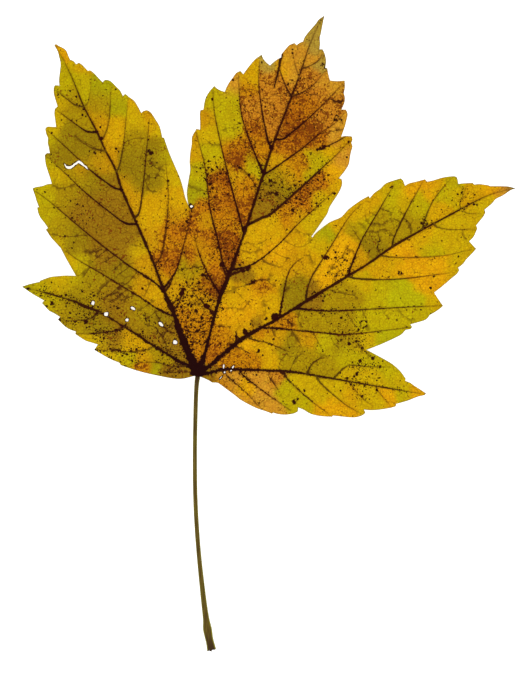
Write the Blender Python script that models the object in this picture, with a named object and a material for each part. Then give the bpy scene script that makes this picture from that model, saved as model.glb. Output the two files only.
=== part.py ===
"""A fallen sycamore maple leaf, lying on a surface with its upper side up.

The leaf grew as one piece, so it is one solid: a lobed, toothed blade whose veins stand out
below as ribs, and the stalk that they run into. The origin is the underside of the knot where
the stalk divides into the five main veins. It is a small flat spot that rests on the surface.
+X runs to the right of the leaf and +Y from the stalk towards the tip of the middle lobe.
"""

import math

import bmesh
import bpy
import numpy as np
from mathutils import Matrix, Vector, geometry, noise

MM = 0.001

# Driving dimensions, in millimetres
BLADE_THICKNESS = 0.7
KNOT_RADIUS = 2.3
KNOT_FLAT_RADIUS = 1.9
MAIN_RIB_DEPTH = 1.3
MAIN_RIB_TIP_DEPTH = 0.3
MAIN_RIB_TIP_HALF_WIDTH = 0.35
SIDE_RIB_DEPTH = 0.55
SIDE_RIB_TIP_DEPTH = 0.25
SIDE_RIB_HALF_WIDTH = 0.5
SIDE_RIB_TIP_HALF_WIDTH = 0.3

# How far the blade swells upwards between the main veins and between the side veins
MAIN_SWELL = 1.5
MAIN_SWELL_REACH = 9.0
SIDE_SWELL = 0.45
SIDE_SWELL_REACH = 2.4

# The edge ripples upwards near the tips of the lobes
RIPPLE_HEIGHT = 1.6
RIPPLE_LENGTH = 17.0

# Spacing of the mesh's points
MARGIN_STEP = 2.4
VEIN_STEP = 3.6
FILL_STEP = 4.4
ROOT_GAP = 0.9
KNOT_RING_POINTS = 10
LEAST_GAP = 0.5
SAME_POINT = 0.01

# Each lobe's axis from the knot: its angle, its length, how high its tip lifts, how high it
# arches on the way to its lowest point, and how far that lowest point clears the surface.
# The left and the right lobe touch down, and with the knot they are what the leaf rests on.
LOBES = (
    (-5.9, 76.5, 3.4, 0.9, 0.5),
    (29.7, 122.0, 4.6, 1.3, 0.0),
    (70.4, 125.5, 7.0, 1.8, 0.6),
    (113.9, 118.3, 5.6, 1.4, 0.0),
    (154.7, 65.0, 2.8, 0.8, 0.4),
)
LOW_POINT_SHARE = 0.66

# The margin, clockwise from the left of the stalk. Each row is one side of a tooth: a smooth
# curve from the end of the row before it, with a corner at its own end.
MARGIN_START = (-1.3, -2.0)
LEFT_BASAL_LOBE = (
    ((-5.0, -2.9), (-8.5, -2.8), (-14.3, -1.7), (-19.0, -0.6), (-22.3, 0.4), (-25.7, 1.6)),
    ((-26.2, 2.4),),
    ((-28.7, 3.4), (-31.0, 4.6), (-34.6, 6.7)),
    ((-33.4, 8.5),),
    ((-35.7, 9.2), (-37.3, 9.7), (-39.0, 10.7), (-40.9, 12.0)),
    ((-40.7, 12.8),),
    ((-42.7, 13.5), (-44.3, 14.5), (-45.7, 15.8), (-46.7, 16.8)),
    ((-46.0, 17.7),),
    ((-48.0, 18.9), (-49.7, 19.8), (-50.8, 21.0), (-52.0, 22.3)),
    ((-51.3, 23.2),),
    ((-53.7, 24.5), (-56.0, 25.9), (-58.7, 27.8)),
    ((-56.7, 28.5), (-54.3, 29.1), (-52.8, 29.4)),
    ((-52.6, 29.8),),
    ((-49.3, 31.0), (-46.7, 31.3), (-44.0, 31.5), (-40.7, 31.4)),
)
LEFT_LOBE = (
    ((-42.3, 34.2), (-44.0, 37.2), (-45.8, 40.7)),
    ((-47.3, 42.3), (-49.0, 44.2), (-50.7, 46.8)),
    ((-50.0, 47.3),),
    ((-51.3, 49.2), (-52.5, 50.7), (-53.3, 52.5), (-53.6, 54.2)),
    ((-53.0, 54.3),),
    ((-53.7, 56.0), (-54.3, 58.0), (-55.2, 60.5)),
    ((-54.0, 61.0), (-52.0, 61.3), (-50.3, 61.9), (-48.7, 62.1)),
    ((-49.3, 64.0), (-50.2, 66.7), (-50.8, 68.8), (-51.1, 71.5)),
    ((-50.4, 72.3), (-49.4, 72.3)),
    ((-49.7, 74.0), (-50.1, 75.8), (-50.0, 77.2), (-50.7, 79.0), (-50.9, 80.5)),
    ((-50.3, 81.1), (-47.3, 81.0)),
    ((-47.6, 83.3), (-47.9, 85.5), (-47.7, 87.1)),
    ((-46.8, 87.8),),
    ((-47.5, 90.0), (-48.1, 92.3), (-48.1, 94.2)),
    ((-47.7, 94.9), (-46.2, 94.8)),
    ((-46.3, 97.0), (-45.8, 101.8), (-46.2, 104.0), (-46.8, 106.2), (-47.9, 108.2)),
    ((-47.4, 108.7),),
    ((-46.3, 108.0), (-44.7, 107.2), (-43.8, 106.3), (-43.3, 105.0), (-42.6, 103.4)),
    ((-41.5, 103.0), (-40.6, 101.9)),
    ((-39.8, 102.4), (-38.8, 101.9), (-37.7, 100.8), (-36.7, 99.7)),
    ((-36.0, 99.9), (-34.8, 99.1), (-33.3, 97.5), (-31.8, 95.9)),
    ((-31.0, 96.7), (-30.2, 96.7), (-29.0, 96.2), (-27.3, 94.5), (-26.0, 93.2), (-25.0, 91.3)),
    ((-24.2, 92.0), (-23.0, 91.0), (-21.3, 89.8), (-20.0, 87.8), (-18.9, 85.7)),
    ((-18.0, 86.4), (-17.0, 86.6), (-15.7, 85.8), (-14.0, 83.3), (-12.7, 81.0), (-11.9, 77.5)),
    ((-11.3, 77.4),),
    ((-10.5, 75.0), (-9.3, 71.7), (-7.7, 68.0), (-6.0, 64.0), (-5.0, 60.7), (-4.2, 57.3), (-3.2, 55.0)),
)
MIDDLE_LOBE = (
    ((-3.5, 56.7), (-3.7, 59.3), (-3.2, 63.0), (-2.6, 66.7), (-2.8, 69.3), (-2.6, 72.3), (-2.1, 75.3),
     (-2.0, 77.7), (-0.5, 80.4)),
    ((0.7, 80.1),),
    ((0.7, 82.7), (0.6, 85.3), (0.8, 86.6)),
    ((1.8, 86.8),),
    ((2.1, 89.0), (2.6, 90.8), (3.7, 92.7), (5.4, 94.7)),
    ((6.5, 93.7), (7.7, 93.1), (8.9, 92.7)),
    ((9.4, 94.0), (10.3, 95.7), (11.7, 97.6), (12.7, 99.0), (14.1, 99.7)),
    ((15.1, 98.6),),
    ((16.3, 100.3), (17.8, 102.2), (19.3, 103.8), (21.2, 105.1)),
    ((21.8, 103.7), (22.8, 102.5), (24.0, 101.5)),
    ((25.3, 102.7), (26.7, 103.7), (27.7, 104.2)),
    ((27.8, 105.3),),
    ((29.0, 106.7), (30.3, 108.2), (32.1, 109.0)),
    ((32.9, 108.3),),
    ((34.0, 109.1), (35.0, 109.5)),
    ((35.5, 110.8), (36.7, 112.5), (39.3, 115.5), (40.2, 116.8), (42.2, 118.2)),
    ((41.8, 116.5), (41.0, 112.3), (40.6, 110.7), (40.7, 108.7), (40.5, 106.9)),
    ((41.5, 106.9),),
    ((42.2, 105.5), (42.7, 103.3), (42.6, 101.8), (42.4, 100.7)),
    ((43.1, 100.6),),
    ((43.4, 98.8), (44.0, 96.5)),
    ((46.3, 96.3), (48.9, 96.5)),
    ((49.0, 94.3), (48.6, 92.3)),
    ((49.0, 90.5), (48.7, 88.8), (47.8, 86.8)),
    ((49.3, 86.8),),
    ((49.9, 85.3), (49.5, 83.3), (48.9, 81.0), (47.7, 77.7)),
    ((49.0, 78.0), (51.2, 77.9)),
    ((51.5, 76.8), (51.1, 75.7)),
    ((51.5, 74.5), (51.0, 72.7), (50.6, 70.5)),
    ((50.3, 68.7), (49.2, 66.7), (47.0, 63.9)),
    ((47.8, 63.7), (48.1, 62.3), (47.7, 60.7), (46.7, 58.7), (44.0, 54.5), (43.2, 52.3), (41.7, 50.0),
     (38.7, 45.7), (37.8, 44.5)),
)
RIGHT_LOBE = (
    ((38.2, 44.2),),
    ((39.3, 45.7), (43.0, 48.7), (45.0, 49.8), (47.7, 51.0), (50.3, 53.7), (54.0, 56.4), (56.8, 58.0)),
    ((57.3, 57.3),),
    ((58.7, 59.0), (60.7, 60.4), (62.3, 62.0), (64.0, 62.8), (67.5, 63.9)),
    ((68.3, 63.3), (69.0, 61.4)),
    ((70.3, 62.2), (72.3, 62.7), (75.7, 63.6)),
    ((76.3, 62.8),),
    ((78.0, 63.1), (81.3, 64.1), (83.7, 64.5), (85.3, 64.6)),
    ((86.3, 64.2), (86.8, 62.0)),
    ((88.0, 62.2), (91.5, 62.4)),
    ((92.1, 61.8),),
    ((93.7, 62.0), (96.8, 61.6)),
    ((97.3, 61.3),),
    ((99.0, 61.3), (103.3, 61.2), (106.0, 60.5)),
    ((104.2, 59.9), (101.7, 58.2), (99.3, 57.0), (98.0, 55.5), (95.5, 53.4)),
    ((95.8, 52.5),),
    ((95.2, 51.3), (94.2, 50.0), (92.7, 48.2)),
    ((93.1, 47.2),),
    ((92.5, 45.7), (91.8, 44.3), (90.4, 42.9)),
    ((91.3, 41.9), (92.7, 40.4)),
    ((91.7, 39.2), (89.3, 36.7), (88.5, 35.5), (86.7, 34.1)),
    ((87.1, 33.3),),
    ((86.3, 32.0), (84.7, 30.7), (81.3, 27.8), (78.7, 25.8)),
    ((80.0, 23.8), (81.7, 21.4)),
    ((81.0, 20.7), (79.3, 19.5), (77.2, 18.3)),
    ((76.8, 17.6),),
    ((75.8, 16.7), (73.7, 16.0), (70.8, 15.2)),
    ((71.4, 14.3),),
    ((70.8, 13.6), (69.3, 13.4), (68.7, 12.8)),
    ((68.0, 12.0), (66.3, 11.0), (61.3, 8.7), (56.2, 6.7)),
)
RIGHT_BASAL_LOBE = (
    ((58.0, 5.8), (63.7, 2.7), (66.0, 1.0), (67.7, -0.7), (69.2, -2.8)),
    ((69.1, -3.6),),
    ((70.7, -4.2), (72.2, -5.3), (74.0, -6.4), (76.1, -7.8)),
    ((75.5, -8.4), (73.3, -8.9), (69.7, -10.3), (66.1, -11.3)),
    ((65.9, -12.1),),
    ((64.3, -12.6), (60.0, -13.3), (57.3, -13.4), (55.3, -13.2)),
    ((55.8, -14.2),),
    ((55.0, -15.0), (53.0, -15.7), (50.7, -15.8), (45.0, -15.2)),
    ((44.7, -15.6),),
    ((42.3, -15.5), (39.7, -15.2), (37.3, -14.5), (35.3, -13.3), (33.4, -12.5)),
    ((33.3, -13.8),),
    ((32.0, -14.5), (29.3, -14.9), (26.7, -14.7), (25.0, -14.2)),
    ((24.7, -14.6),),
    ((23.0, -13.9), (19.0, -12.5), (14.3, -10.0), (12.0, -8.2), (6.7, -4.3)),
    ((5.7, -4.2), (4.7, -4.2), (3.7, -3.5), (1.0, -2.3)),
)
MARGIN = LEFT_BASAL_LOBE + LEFT_LOBE + MIDDLE_LOBE + RIGHT_LOBE + RIGHT_BASAL_LOBE

# Each main vein: its rib's half width at the knot, and its course from the knot to a lobe's tip
MAIN_VEINS = {
    "left basal": (0.8, ((0.0, 0.0), (-6.0, 2.7), (-11.0, 5.8), (-16.0, 8.8), (-20.3, 11.8), (-25.3, 14.8),
                         (-30.7, 18.2), (-36.0, 20.7), (-41.0, 22.8), (-51.0, 25.8), (-57.4, 27.4))),
    "left": (1.2, ((0.0, 0.0), (-2.5, 4.2), (-4.5, 9.0), (-6.3, 13.2), (-7.8, 18.3), (-11.4, 26.4),
                   (-14.8, 35.8), (-19.5, 46.8), (-25.3, 60.0), (-27.5, 66.8), (-31.0, 73.5), (-33.8, 79.7),
                   (-38.0, 87.7), (-41.5, 96.3), (-44.5, 102.7), (-47.0, 107.2))),
    "middle": (1.1, ((0.0, 0.0), (1.5, 3.0), (3.5, 9.9), (5.5, 18.0), (7.8, 25.4), (10.6, 32.3), (15.8, 46.7),
                     (19.4, 57.8), (24.6, 73.9), (27.2, 80.8), (31.2, 91.1), (34.6, 100.4), (37.0, 107.7),
                     (39.5, 113.6), (41.5, 117.2))),
    "right": (1.1, ((0.0, 0.0), (3.2, 0.9), (8.4, 5.3), (14.1, 9.9), (19.8, 13.4), (26.1, 16.8), (35.9, 22.8),
                    (41.6, 26.3), (50.3, 31.5), (57.3, 35.8), (65.0, 41.2), (74.7, 46.7), (84.0, 51.7),
                    (90.7, 55.3), (97.3, 58.4), (104.8, 60.4))),
    "right basal": (0.9, ((0.0, 0.0), (2.3, -1.1), (5.3, -0.6), (9.0, 0.2), (19.0, 0.0), (29.0, -0.4),
                          (34.0, -1.0), (44.0, -2.7), (57.3, -5.0), (71.3, -7.4), (75.0, -7.8))),
}

# Each side vein: the main vein that it leaves, and its course to the margin
SIDE_VEINS = (
    ("left basal", ((-3.4, 1.5), (-9.3, 1.2), (-12.7, 2.3), (-18.7, 2.5), (-22.7, 2.0))),
    ("left basal", ((-15.0, 8.2), (-16.3, 7.0), (-19.0, 6.4), (-26.7, 6.0), (-33.4, 6.8))),
    ("left basal", ((-24.8, 14.5), (-26.3, 13.3), (-29.0, 12.8), (-36.0, 12.0), (-39.8, 12.1))),
    ("left basal", ((-33.0, 19.2), (-34.5, 17.7), (-37.0, 16.8), (-44.0, 16.4), (-46.0, 16.9))),
    ("left", ((-7.6, 17.7), (-13.2, 20.3), (-20.0, 24.7), (-32.3, 32.2), (-39.7, 36.5), (-44.0, 39.6))),
    ("left", ((-11.5, 26.5), (-15.1, 29.6), (-24.7, 36.0), (-36.0, 44.8), (-49.3, 56.0), (-54.2, 59.6))),
    ("left", ((-20.5, 48.3), (-24.3, 49.0), (-29.4, 52.6), (-37.4, 59.0), (-44.0, 65.3), (-50.2, 71.0))),
    ("left", ((-25.5, 59.8), (-28.7, 61.2), (-36.0, 66.7), (-43.2, 73.5), (-50.1, 79.8))),
    ("left", ((-30.8, 73.1), (-33.0, 73.3), (-36.0, 74.3), (-42.0, 78.0))),
    ("left", ((-33.7, 79.3), (-36.0, 79.3), (-38.3, 80.2), (-46.6, 86.2))),
    ("left", ((-38.0, 87.6), (-40.0, 88.0), (-42.0, 89.0), (-47.1, 93.1))),
    ("left", ((-11.5, 26.8), (-8.8, 30.5), (-6.6, 34.9), (-4.6, 42.3), (-2.7, 50.0), (-3.0, 53.4))),
    ("left", ((-14.5, 35.0), (-12.3, 38.0), (-10.7, 46.7), (-9.9, 58.0), (-10.8, 70.0))),
    ("left", ((-21.0, 50.4), (-19.5, 52.7), (-18.3, 61.0), (-17.3, 71.3), (-16.2, 83.5))),
    ("left", ((-27.3, 66.1), (-26.2, 68.0), (-24.9, 74.7), (-24.0, 83.3), (-23.3, 89.5))),
    ("left", ((-32.4, 76.6), (-31.2, 78.0), (-29.6, 83.3), (-29.0, 93.5))),
    ("left", ((-37.9, 87.6), (-36.8, 89.0), (-35.8, 93.3), (-35.5, 98.0))),
    ("middle", ((7.6, 24.7), (5.0, 29.0), (2.0, 34.7), (-0.7, 42.3), (-1.3, 46.0))),
    ("middle", ((10.4, 31.8), (8.3, 35.8), (6.9, 42.1), (4.0, 54.0), (2.5, 67.0), (-0.6, 79.0))),
    ("middle", ((15.3, 45.3), (13.3, 52.9), (8.7, 70.5), (5.5, 85.7), (5.0, 93.2))),
    ("middle", ((21.8, 65.2), (19.8, 70.0), (16.3, 79.0), (14.2, 87.0), (13.5, 98.2))),
    ("middle", ((24.5, 73.7), (23.3, 76.5), (21.6, 84.7), (20.3, 94.7), (20.5, 103.0))),
    ("middle", ((31.2, 91.1), (29.5, 94.0), (27.4, 99.7), (27.2, 103.0))),
    ("middle", ((33.8, 98.2), (32.7, 100.5), (31.2, 107.0))),
    ("middle", ((11.0, 33.1), (15.8, 34.3), (20.4, 36.6), (27.3, 42.3), (34.0, 49.3), (45.4, 59.6))),
    ("middle", ((16.3, 48.1), (20.9, 50.5), (24.7, 52.3), (34.0, 60.5), (40.7, 66.7), (46.7, 72.2),
                (50.4, 76.4))),
    ("middle", ((21.9, 65.2), (24.0, 66.3), (34.0, 73.3), (40.0, 78.3), (46.0, 82.5), (48.7, 85.6))),
    ("middle", ((26.2, 78.0), (29.0, 77.9), (35.7, 83.0), (42.3, 88.8), (48.2, 95.4))),
    ("middle", ((31.4, 91.5), (33.7, 92.0), (38.3, 94.8), (42.5, 99.8))),
    ("middle", ((34.8, 100.7), (36.3, 100.8), (40.0, 103.0), (41.6, 105.6))),
    ("right", ((27.3, 17.5), (28.2, 23.7), (29.9, 31.7), (31.9, 35.2), (35.0, 37.5))),
    ("right", ((35.7, 22.7), (36.5, 27.1), (38.2, 31.5), (44.0, 40.8), (50.0, 50.5), (54.3, 55.2))),
    ("right", ((50.3, 31.5), (50.8, 34.0), (54.7, 43.5), (60.0, 52.7), (65.4, 62.0))),
    ("right", ((65.0, 41.2), (65.1, 43.5), (69.0, 52.0), (74.8, 62.6))),
    ("right", ((75.0, 46.8), (75.3, 49.2), (78.3, 56.3), (84.0, 63.6))),
    ("right", ((87.7, 53.7), (87.3, 55.7), (89.6, 61.2))),
    ("right", ((15.8, 10.9), (19.8, 9.8), (23.3, 9.0), (30.5, 6.0))),
    ("right", ((21.0, 14.0), (26.7, 13.8), (42.3, 12.3), (50.7, 11.9), (70.4, 14.2))),
    ("right", ((32.3, 20.4), (39.9, 19.8), (48.5, 19.8), (70.3, 21.0), (81.0, 21.4))),
    ("right", ((50.2, 31.4), (51.7, 30.6), (60.7, 30.1), (70.0, 30.6), (84.0, 32.4))),
    ("right", ((60.8, 38.3), (63.3, 37.7), (72.0, 37.5), (82.3, 38.2), (91.8, 40.3))),
    ("right", ((78.7, 48.8), (79.7, 47.6), (84.7, 46.8), (92.2, 47.0))),
    ("right", ((88.2, 53.9), (89.3, 52.3), (94.9, 52.0))),
    ("right basal", ((36.5, -1.4), (37.5, 1.3), (39.5, 3.2), (43.7, 4.8))),
    ("right basal", ((45.5, -2.9), (46.7, -1.2), (50.3, 1.5), (57.0, 1.1), (64.0, 1.0))),
    ("right basal", ((8.0, 0.0), (9.7, -2.0), (15.7, -7.2), (20.0, -11.7))),
    ("right basal", ((13.5, 0.1), (15.3, -2.0), (21.7, -7.0), (31.0, -13.6))),
    ("right basal", ((28.0, -0.4), (31.0, -4.2), (38.0, -10.5), (43.6, -14.7))),
    ("right basal", ((39.5, -2.0), (41.7, -5.2), (48.7, -11.2), (54.5, -14.7))),
    ("right basal", ((51.2, -3.8), (51.7, -5.7), (54.2, -8.9), (58.4, -12.2))),
    ("right basal", ((59.3, -5.3), (60.0, -7.0), (64.2, -12.0))),
)

# The stalk from inside the knot to its swollen foot: x, y, the height of its middle, and radius
STALK = (
    (0.0, 0.6, 1.00, 0.70),
    (0.0, -1.8, 1.10, 0.85),
    (-0.5, -6.7, 1.50, 0.74),
    (-0.8, -13.3, 2.10, 0.74),
    (-1.0, -26.7, 2.90, 0.72),
    (-0.9, -40.0, 3.20, 0.74),
    (-0.4, -51.7, 3.10, 0.76),
    (0.5, -63.3, 2.70, 0.78),
    (1.9, -76.7, 1.95, 0.88),
    (2.7, -83.0, 1.55, 1.05),
    (3.1, -86.3, 1.45, 1.45),
    (3.7, -89.6, 1.34, 1.32),
    (4.1, -91.2, 1.36, 1.34),
    (4.5, -93.2, 1.58, 1.58),
)
STALK_STEP = 4.0
STALK_SIDES = 10

LEAF_COLOUR = (0.62, 0.40, 0.02, 1.0)
LEAF_ROUGHNESS = 0.6


def clear_scene():
    """Remove whatever the file opens with."""
    for obj in list(bpy.data.objects):
        bpy.data.objects.remove(obj)


def smooth_course(points, step):
    """A smooth curve through the points, with about one step between its samples."""
    points = [Vector(p) for p in points]
    padded = [2 * points[0] - points[1], *points, 2 * points[-1] - points[-2]]
    course = [points[0]]
    for before, start, end, after in zip(padded, padded[1:], padded[2:], padded[3:]):
        pieces = max(1, round((end - start).length / step))
        for piece in range(1, pieces + 1):
            t = piece / pieces
            bend = (2 * before - 5 * start + 4 * end - after) * t**2
            twist = (3 * start - before - 3 * end + after) * t**3
            course.append((2 * start + (end - before) * t + bend + twist) / 2)
    return course


def margin_loop():
    """The closed outline of the blade, with its corners kept sharp."""
    loop = [Vector(MARGIN_START)]
    for row in MARGIN:
        loop += smooth_course([loop[-1], *row], MARGIN_STEP)[1:]
    return loop


def taper(root, tip, share):
    """A width or a depth that shrinks along a vein, where share is 0 at its root and 1 at its tip."""
    return tip + (root - tip) * (1 - share) ** 1.1


def rib(line, half_widths, depths):
    """The line's points, each with the rib's half width and depth there."""
    last = len(line) - 1
    return [(p, taper(*half_widths, i / last), taper(*depths, i / last)) for i, p in enumerate(line)]


def insert_root(line, start):
    """The point of the line nearest to the start, which becomes one of the line's own points."""
    feet = []
    for i, (a, b) in enumerate(zip(line, line[1:])):
        share = min(1, max(0, (start - a).dot(b - a) / (b - a).length_squared))
        foot = a.lerp(b, share)
        feet.append(((foot - start).length, i, foot))
    _, index, foot = min(feet, key=lambda found: found[0])
    for near in (index, index + 1):
        if (line[near] - foot).length < ROOT_GAP:
            return line[near]
    line.insert(index + 1, foot)
    return foot


def rib_lines():
    """The ribs: the main ones first, then the side ones, which start at a point of a main one."""
    mains = {name: smooth_course(course, VEIN_STEP) for name, (_, course) in MAIN_VEINS.items()}
    roots = [insert_root(mains[parent], Vector(course[0])) for parent, course in SIDE_VEINS]
    lines = []
    for name, line in mains.items():
        half_widths = (MAIN_VEINS[name][0], MAIN_RIB_TIP_HALF_WIDTH)
        lines.append(rib(line, half_widths, (MAIN_RIB_DEPTH, MAIN_RIB_TIP_DEPTH)))
    for root, (_, course) in zip(roots, SIDE_VEINS):
        line = smooth_course([root, *course[1:]], VEIN_STEP)
        half_widths = (SIDE_RIB_HALF_WIDTH, SIDE_RIB_TIP_HALF_WIDTH)
        lines.append(rib(line, half_widths, (SIDE_RIB_DEPTH, SIDE_RIB_TIP_DEPTH)))
    return lines


def near_ribs(points, lines):
    """For each point, its distance from the nearest rib's middle and the depth of rib there."""
    starts = np.array([(*p, width, depth) for line in lines for p, width, depth in line[:-1]])
    ends = np.array([(*p, width, depth) for line in lines for p, width, depth in line[1:]])
    along = ends[:, :2] - starts[:, :2]
    distances = np.empty(len(points))
    ribs = np.empty(len(points))
    for i, point in enumerate(points):
        share = ((point - starts[:, :2]) * along).sum(axis=1) / (along**2).sum(axis=1)
        share = np.clip(share, 0, 1)[:, None]
        nearest = starts + share * (ends - starts)
        gap = np.linalg.norm(nearest[:, :2] - point, axis=1)
        distances[i] = gap.min()
        ribs[i] = (nearest[:, 3] * np.clip(1 - (gap / nearest[:, 2]) ** 2, 0, 1)).max()
    return distances, ribs


def smoothstep(value):
    """A smooth rise from 0 to 1."""
    value = np.clip(value, 0, 1)
    return value * value * (3 - 2 * value)


def blade_heights(points, lines):
    """How high the blade's lower and upper faces are above the surface at each point."""
    radius = np.hypot(points[:, 0], points[:, 1])
    angle = np.degrees(np.arctan2(points[:, 1], points[:, 0]))
    angle = np.where(angle < -90, angle + 360, angle)
    lobes = np.array(LOBES)
    length, lift, arch, clearance = (np.interp(angle, lobes[:, 0], lobes[:, i]) for i in range(1, 5))
    share = radius / length
    to_low = np.clip(share / LOW_POINT_SHARE, 0, 1)
    past_low = np.clip((share - LOW_POINT_SHARE) / (1 - LOW_POINT_SHARE), 0, 1.1)
    main_distance, _ = near_ribs(points, lines[: len(MAIN_VEINS)])
    distance, ribs = near_ribs(points, lines)
    ripple = np.array([noise.noise(Vector((x, y, 0)) / RIPPLE_LENGTH) + 0.5 for x, y in points])
    lower = taper(MAIN_RIB_DEPTH, MAIN_RIB_TIP_DEPTH, np.clip(share, 0, 1))
    lower += arch * np.sin(math.pi * to_low) ** 2 + clearance * smoothstep(to_low)
    lower += lift * past_low**2 + RIPPLE_HEIGHT * np.clip(ripple, 0, 1) * past_low
    lower += MAIN_SWELL * (1 - np.exp(-((main_distance / MAIN_SWELL_REACH) ** 2)))
    lower += SIDE_SWELL * (1 - np.exp(-((distance / SIDE_SWELL_REACH) ** 2)))
    upper = lower + BLADE_THICKNESS
    lower = np.maximum(0, lower - ribs)
    lower[radius < KNOT_FLAT_RADIUS + SAME_POINT] = 0
    return lower, upper


def inside(point, loop):
    """Whether the point lies within the closed loop."""
    crossings = 0
    for a, b in zip(loop, loop[1:] + loop[:1]):
        if (a.y > point.y) != (b.y > point.y):
            crossings += point.x < a.x + (point.y - a.y) * (b.x - a.x) / (b.y - a.y)
    return crossings % 2 == 1


def place(point, points, gap):
    """The index of the point in the list: its own, or that of one already within the gap."""
    if points:
        gaps = np.hypot(*(np.array(points) - point[:]).T)
        index = int(gaps.argmin())
        if gaps[index] < gap:
            return index
    points.append(point[:])
    return len(points) - 1


def link_up(stations):
    """The edges that join the stations in turn."""
    return [(a, b) for a, b in zip(stations, stations[1:]) if a != b]


def rib_feet(line):
    """The two lines along which a rib's sides meet the blade."""
    left, right = [], []
    for (before, _, _), (p, half_width, _), (after, _, _) in zip(line, line[1:], line[2:]):
        across = (after - before).normalized().orthogonal() * half_width
        left.append(p + across)
        right.append(p - across)
    return left, right


def fill_points(loop):
    """Rows of points over the whole of the blade, staggered so that they make even triangles."""
    low_x, high_x = min(p.x for p in loop), max(p.x for p in loop)
    low_y, high_y = min(p.y for p in loop), max(p.y for p in loop)
    row_height = FILL_STEP * math.sin(math.radians(60))
    for row in range(int((high_y - low_y) / row_height) + 1):
        for column in range(int((high_x - low_x) / FILL_STEP) + 1):
            yield Vector((low_x + (column + row % 2 / 2) * FILL_STEP, low_y + row * row_height))


def flat_blade(lines):
    """The blade as seen from above: points, and triangles whose edges follow margin and ribs."""
    loop = margin_loop()
    points = []
    rim = [place(p, points, SAME_POINT) for p in loop]
    edges = link_up([*rim, rim[0]])
    for line in lines:
        edges += link_up([place(p, points, LEAST_GAP) for p, _, _ in line if inside(p, loop)])
    for line in lines:
        for foot in rib_feet(line):
            for p in foot:
                if inside(p, loop):
                    place(p, points, LEAST_GAP * 0.6)
    for corner in range(KNOT_RING_POINTS):
        turn = 2 * math.pi * corner / KNOT_RING_POINTS
        p = KNOT_FLAT_RADIUS * Vector((math.cos(turn), math.sin(turn)))
        if inside(p, loop):
            place(p, points, LEAST_GAP)
    for p in fill_points(loop):
        if inside(p, loop):
            place(p, points, FILL_STEP * 0.55)
    keep_inside = 2
    vectors = [Vector(p) for p in points]
    flat, _, triangles, *_ = geometry.delaunay_2d_cdt(vectors, edges, [], keep_inside, SAME_POINT / 10)
    return flat, triangles


def make_object(name, bm):
    """An object that holds the mesh, shaded smooth."""
    bmesh.ops.recalc_face_normals(bm, faces=bm.faces[:])
    mesh = bpy.data.meshes.new(name)
    bm.to_mesh(mesh)
    bm.free()
    mesh.shade_smooth()
    obj = bpy.data.objects.new(name, mesh)
    bpy.context.collection.objects.link(obj)
    return obj


def build_blade():
    """The blade with its ribs: the flat triangles pulled up into a sheet of even thickness."""
    lines = rib_lines()
    points, triangles = flat_blade(lines)
    lower, upper = blade_heights(np.array([p[:] for p in points]), lines)
    bm = bmesh.new()
    under = [bm.verts.new((p.x * MM, p.y * MM, 0)) for p in points]
    for triangle in triangles:
        bm.faces.new([under[i] for i in triangle])
    top_of = {v.co.xy.to_tuple(): height * MM for v, height in zip(under, upper)}
    raised = bmesh.ops.extrude_face_region(bm, geom=bm.faces[:], use_keep_orig=True)
    for v in raised["geom"]:
        if isinstance(v, bmesh.types.BMVert):
            v.co.z = top_of[v.co.xy.to_tuple()]
    for v, height in zip(under, lower):
        v.co.z = height * MM
    blade = make_object("leaf", bm)
    blade.data.set_sharp_from_angle(angle=math.radians(50))
    return blade


def build_stalk():
    """The stalk as a closed tube, drawn out ring by ring from the knot to its foot."""
    stations = smooth_course(STALK, STALK_STEP)
    bm = bmesh.new()
    bmesh.ops.create_cone(bm, cap_ends=True, segments=STALK_SIDES, radius1=1, radius2=1, depth=1)
    ends = [face for face in bm.faces if len(face.verts) == STALK_SIDES]
    first, last = sorted(ends, key=lambda face: face.calc_center_median().z)
    for index, station in enumerate(stations):
        if index > 1:
            last = bmesh.ops.extrude_discrete_faces(bm, faces=[last])["faces"][0]
        face = last if index else first
        if index < 2:
            corners = [v.co.xy for v in face.verts]
        ahead = stations[min(index + 1, len(stations) - 1)] - stations[max(index - 1, 0)]
        turn = ahead.xyz.to_track_quat("Z", "Y").to_matrix().to_4x4()
        frame = Matrix.Translation(station.xyz * MM) @ turn
        for v, corner in zip(face.verts, corners):
            v.co = frame @ (corner * station[3] * MM).to_3d()
    return make_object("stalk_shape", bm)


def leaf_material():
    material = bpy.data.materials.new("leaf")
    material.use_nodes = True
    shader = material.node_tree.nodes["Principled BSDF"]
    shader.inputs["Base Color"].default_value = LEAF_COLOUR
    shader.inputs["Roughness"].default_value = LEAF_ROUGHNESS
    shader.inputs["Metallic"].default_value = 0
    return material


def build_leaf():
    """The blade and the stalk joined into one solid."""
    leaf = build_blade()
    leaf.data.materials.append(leaf_material())
    stalk = build_stalk()
    stalk.hide_render = True
    stalk.display_type = "WIRE"
    join = leaf.modifiers.new("stalk", "BOOLEAN")
    join.operation = "UNION"
    join.solver = "EXACT"
    join.object = stalk


clear_scene()
build_leaf()
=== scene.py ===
"""Looks of a fallen sycamore maple leaf, seen from straight above with its upper side up.

The blade and the stalk are made again from the same courses as the solid, far finer: the blade
has its net of small veins sunk into it, its holes and its tear, and the stalk its torn foot.
Autumn colours lie in patches that the veins bound, with freckles and dark dots over them.
"""

import math

import bmesh
import bpy
import numpy as np
from mathutils import Matrix, Vector, geometry, noise


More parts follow.
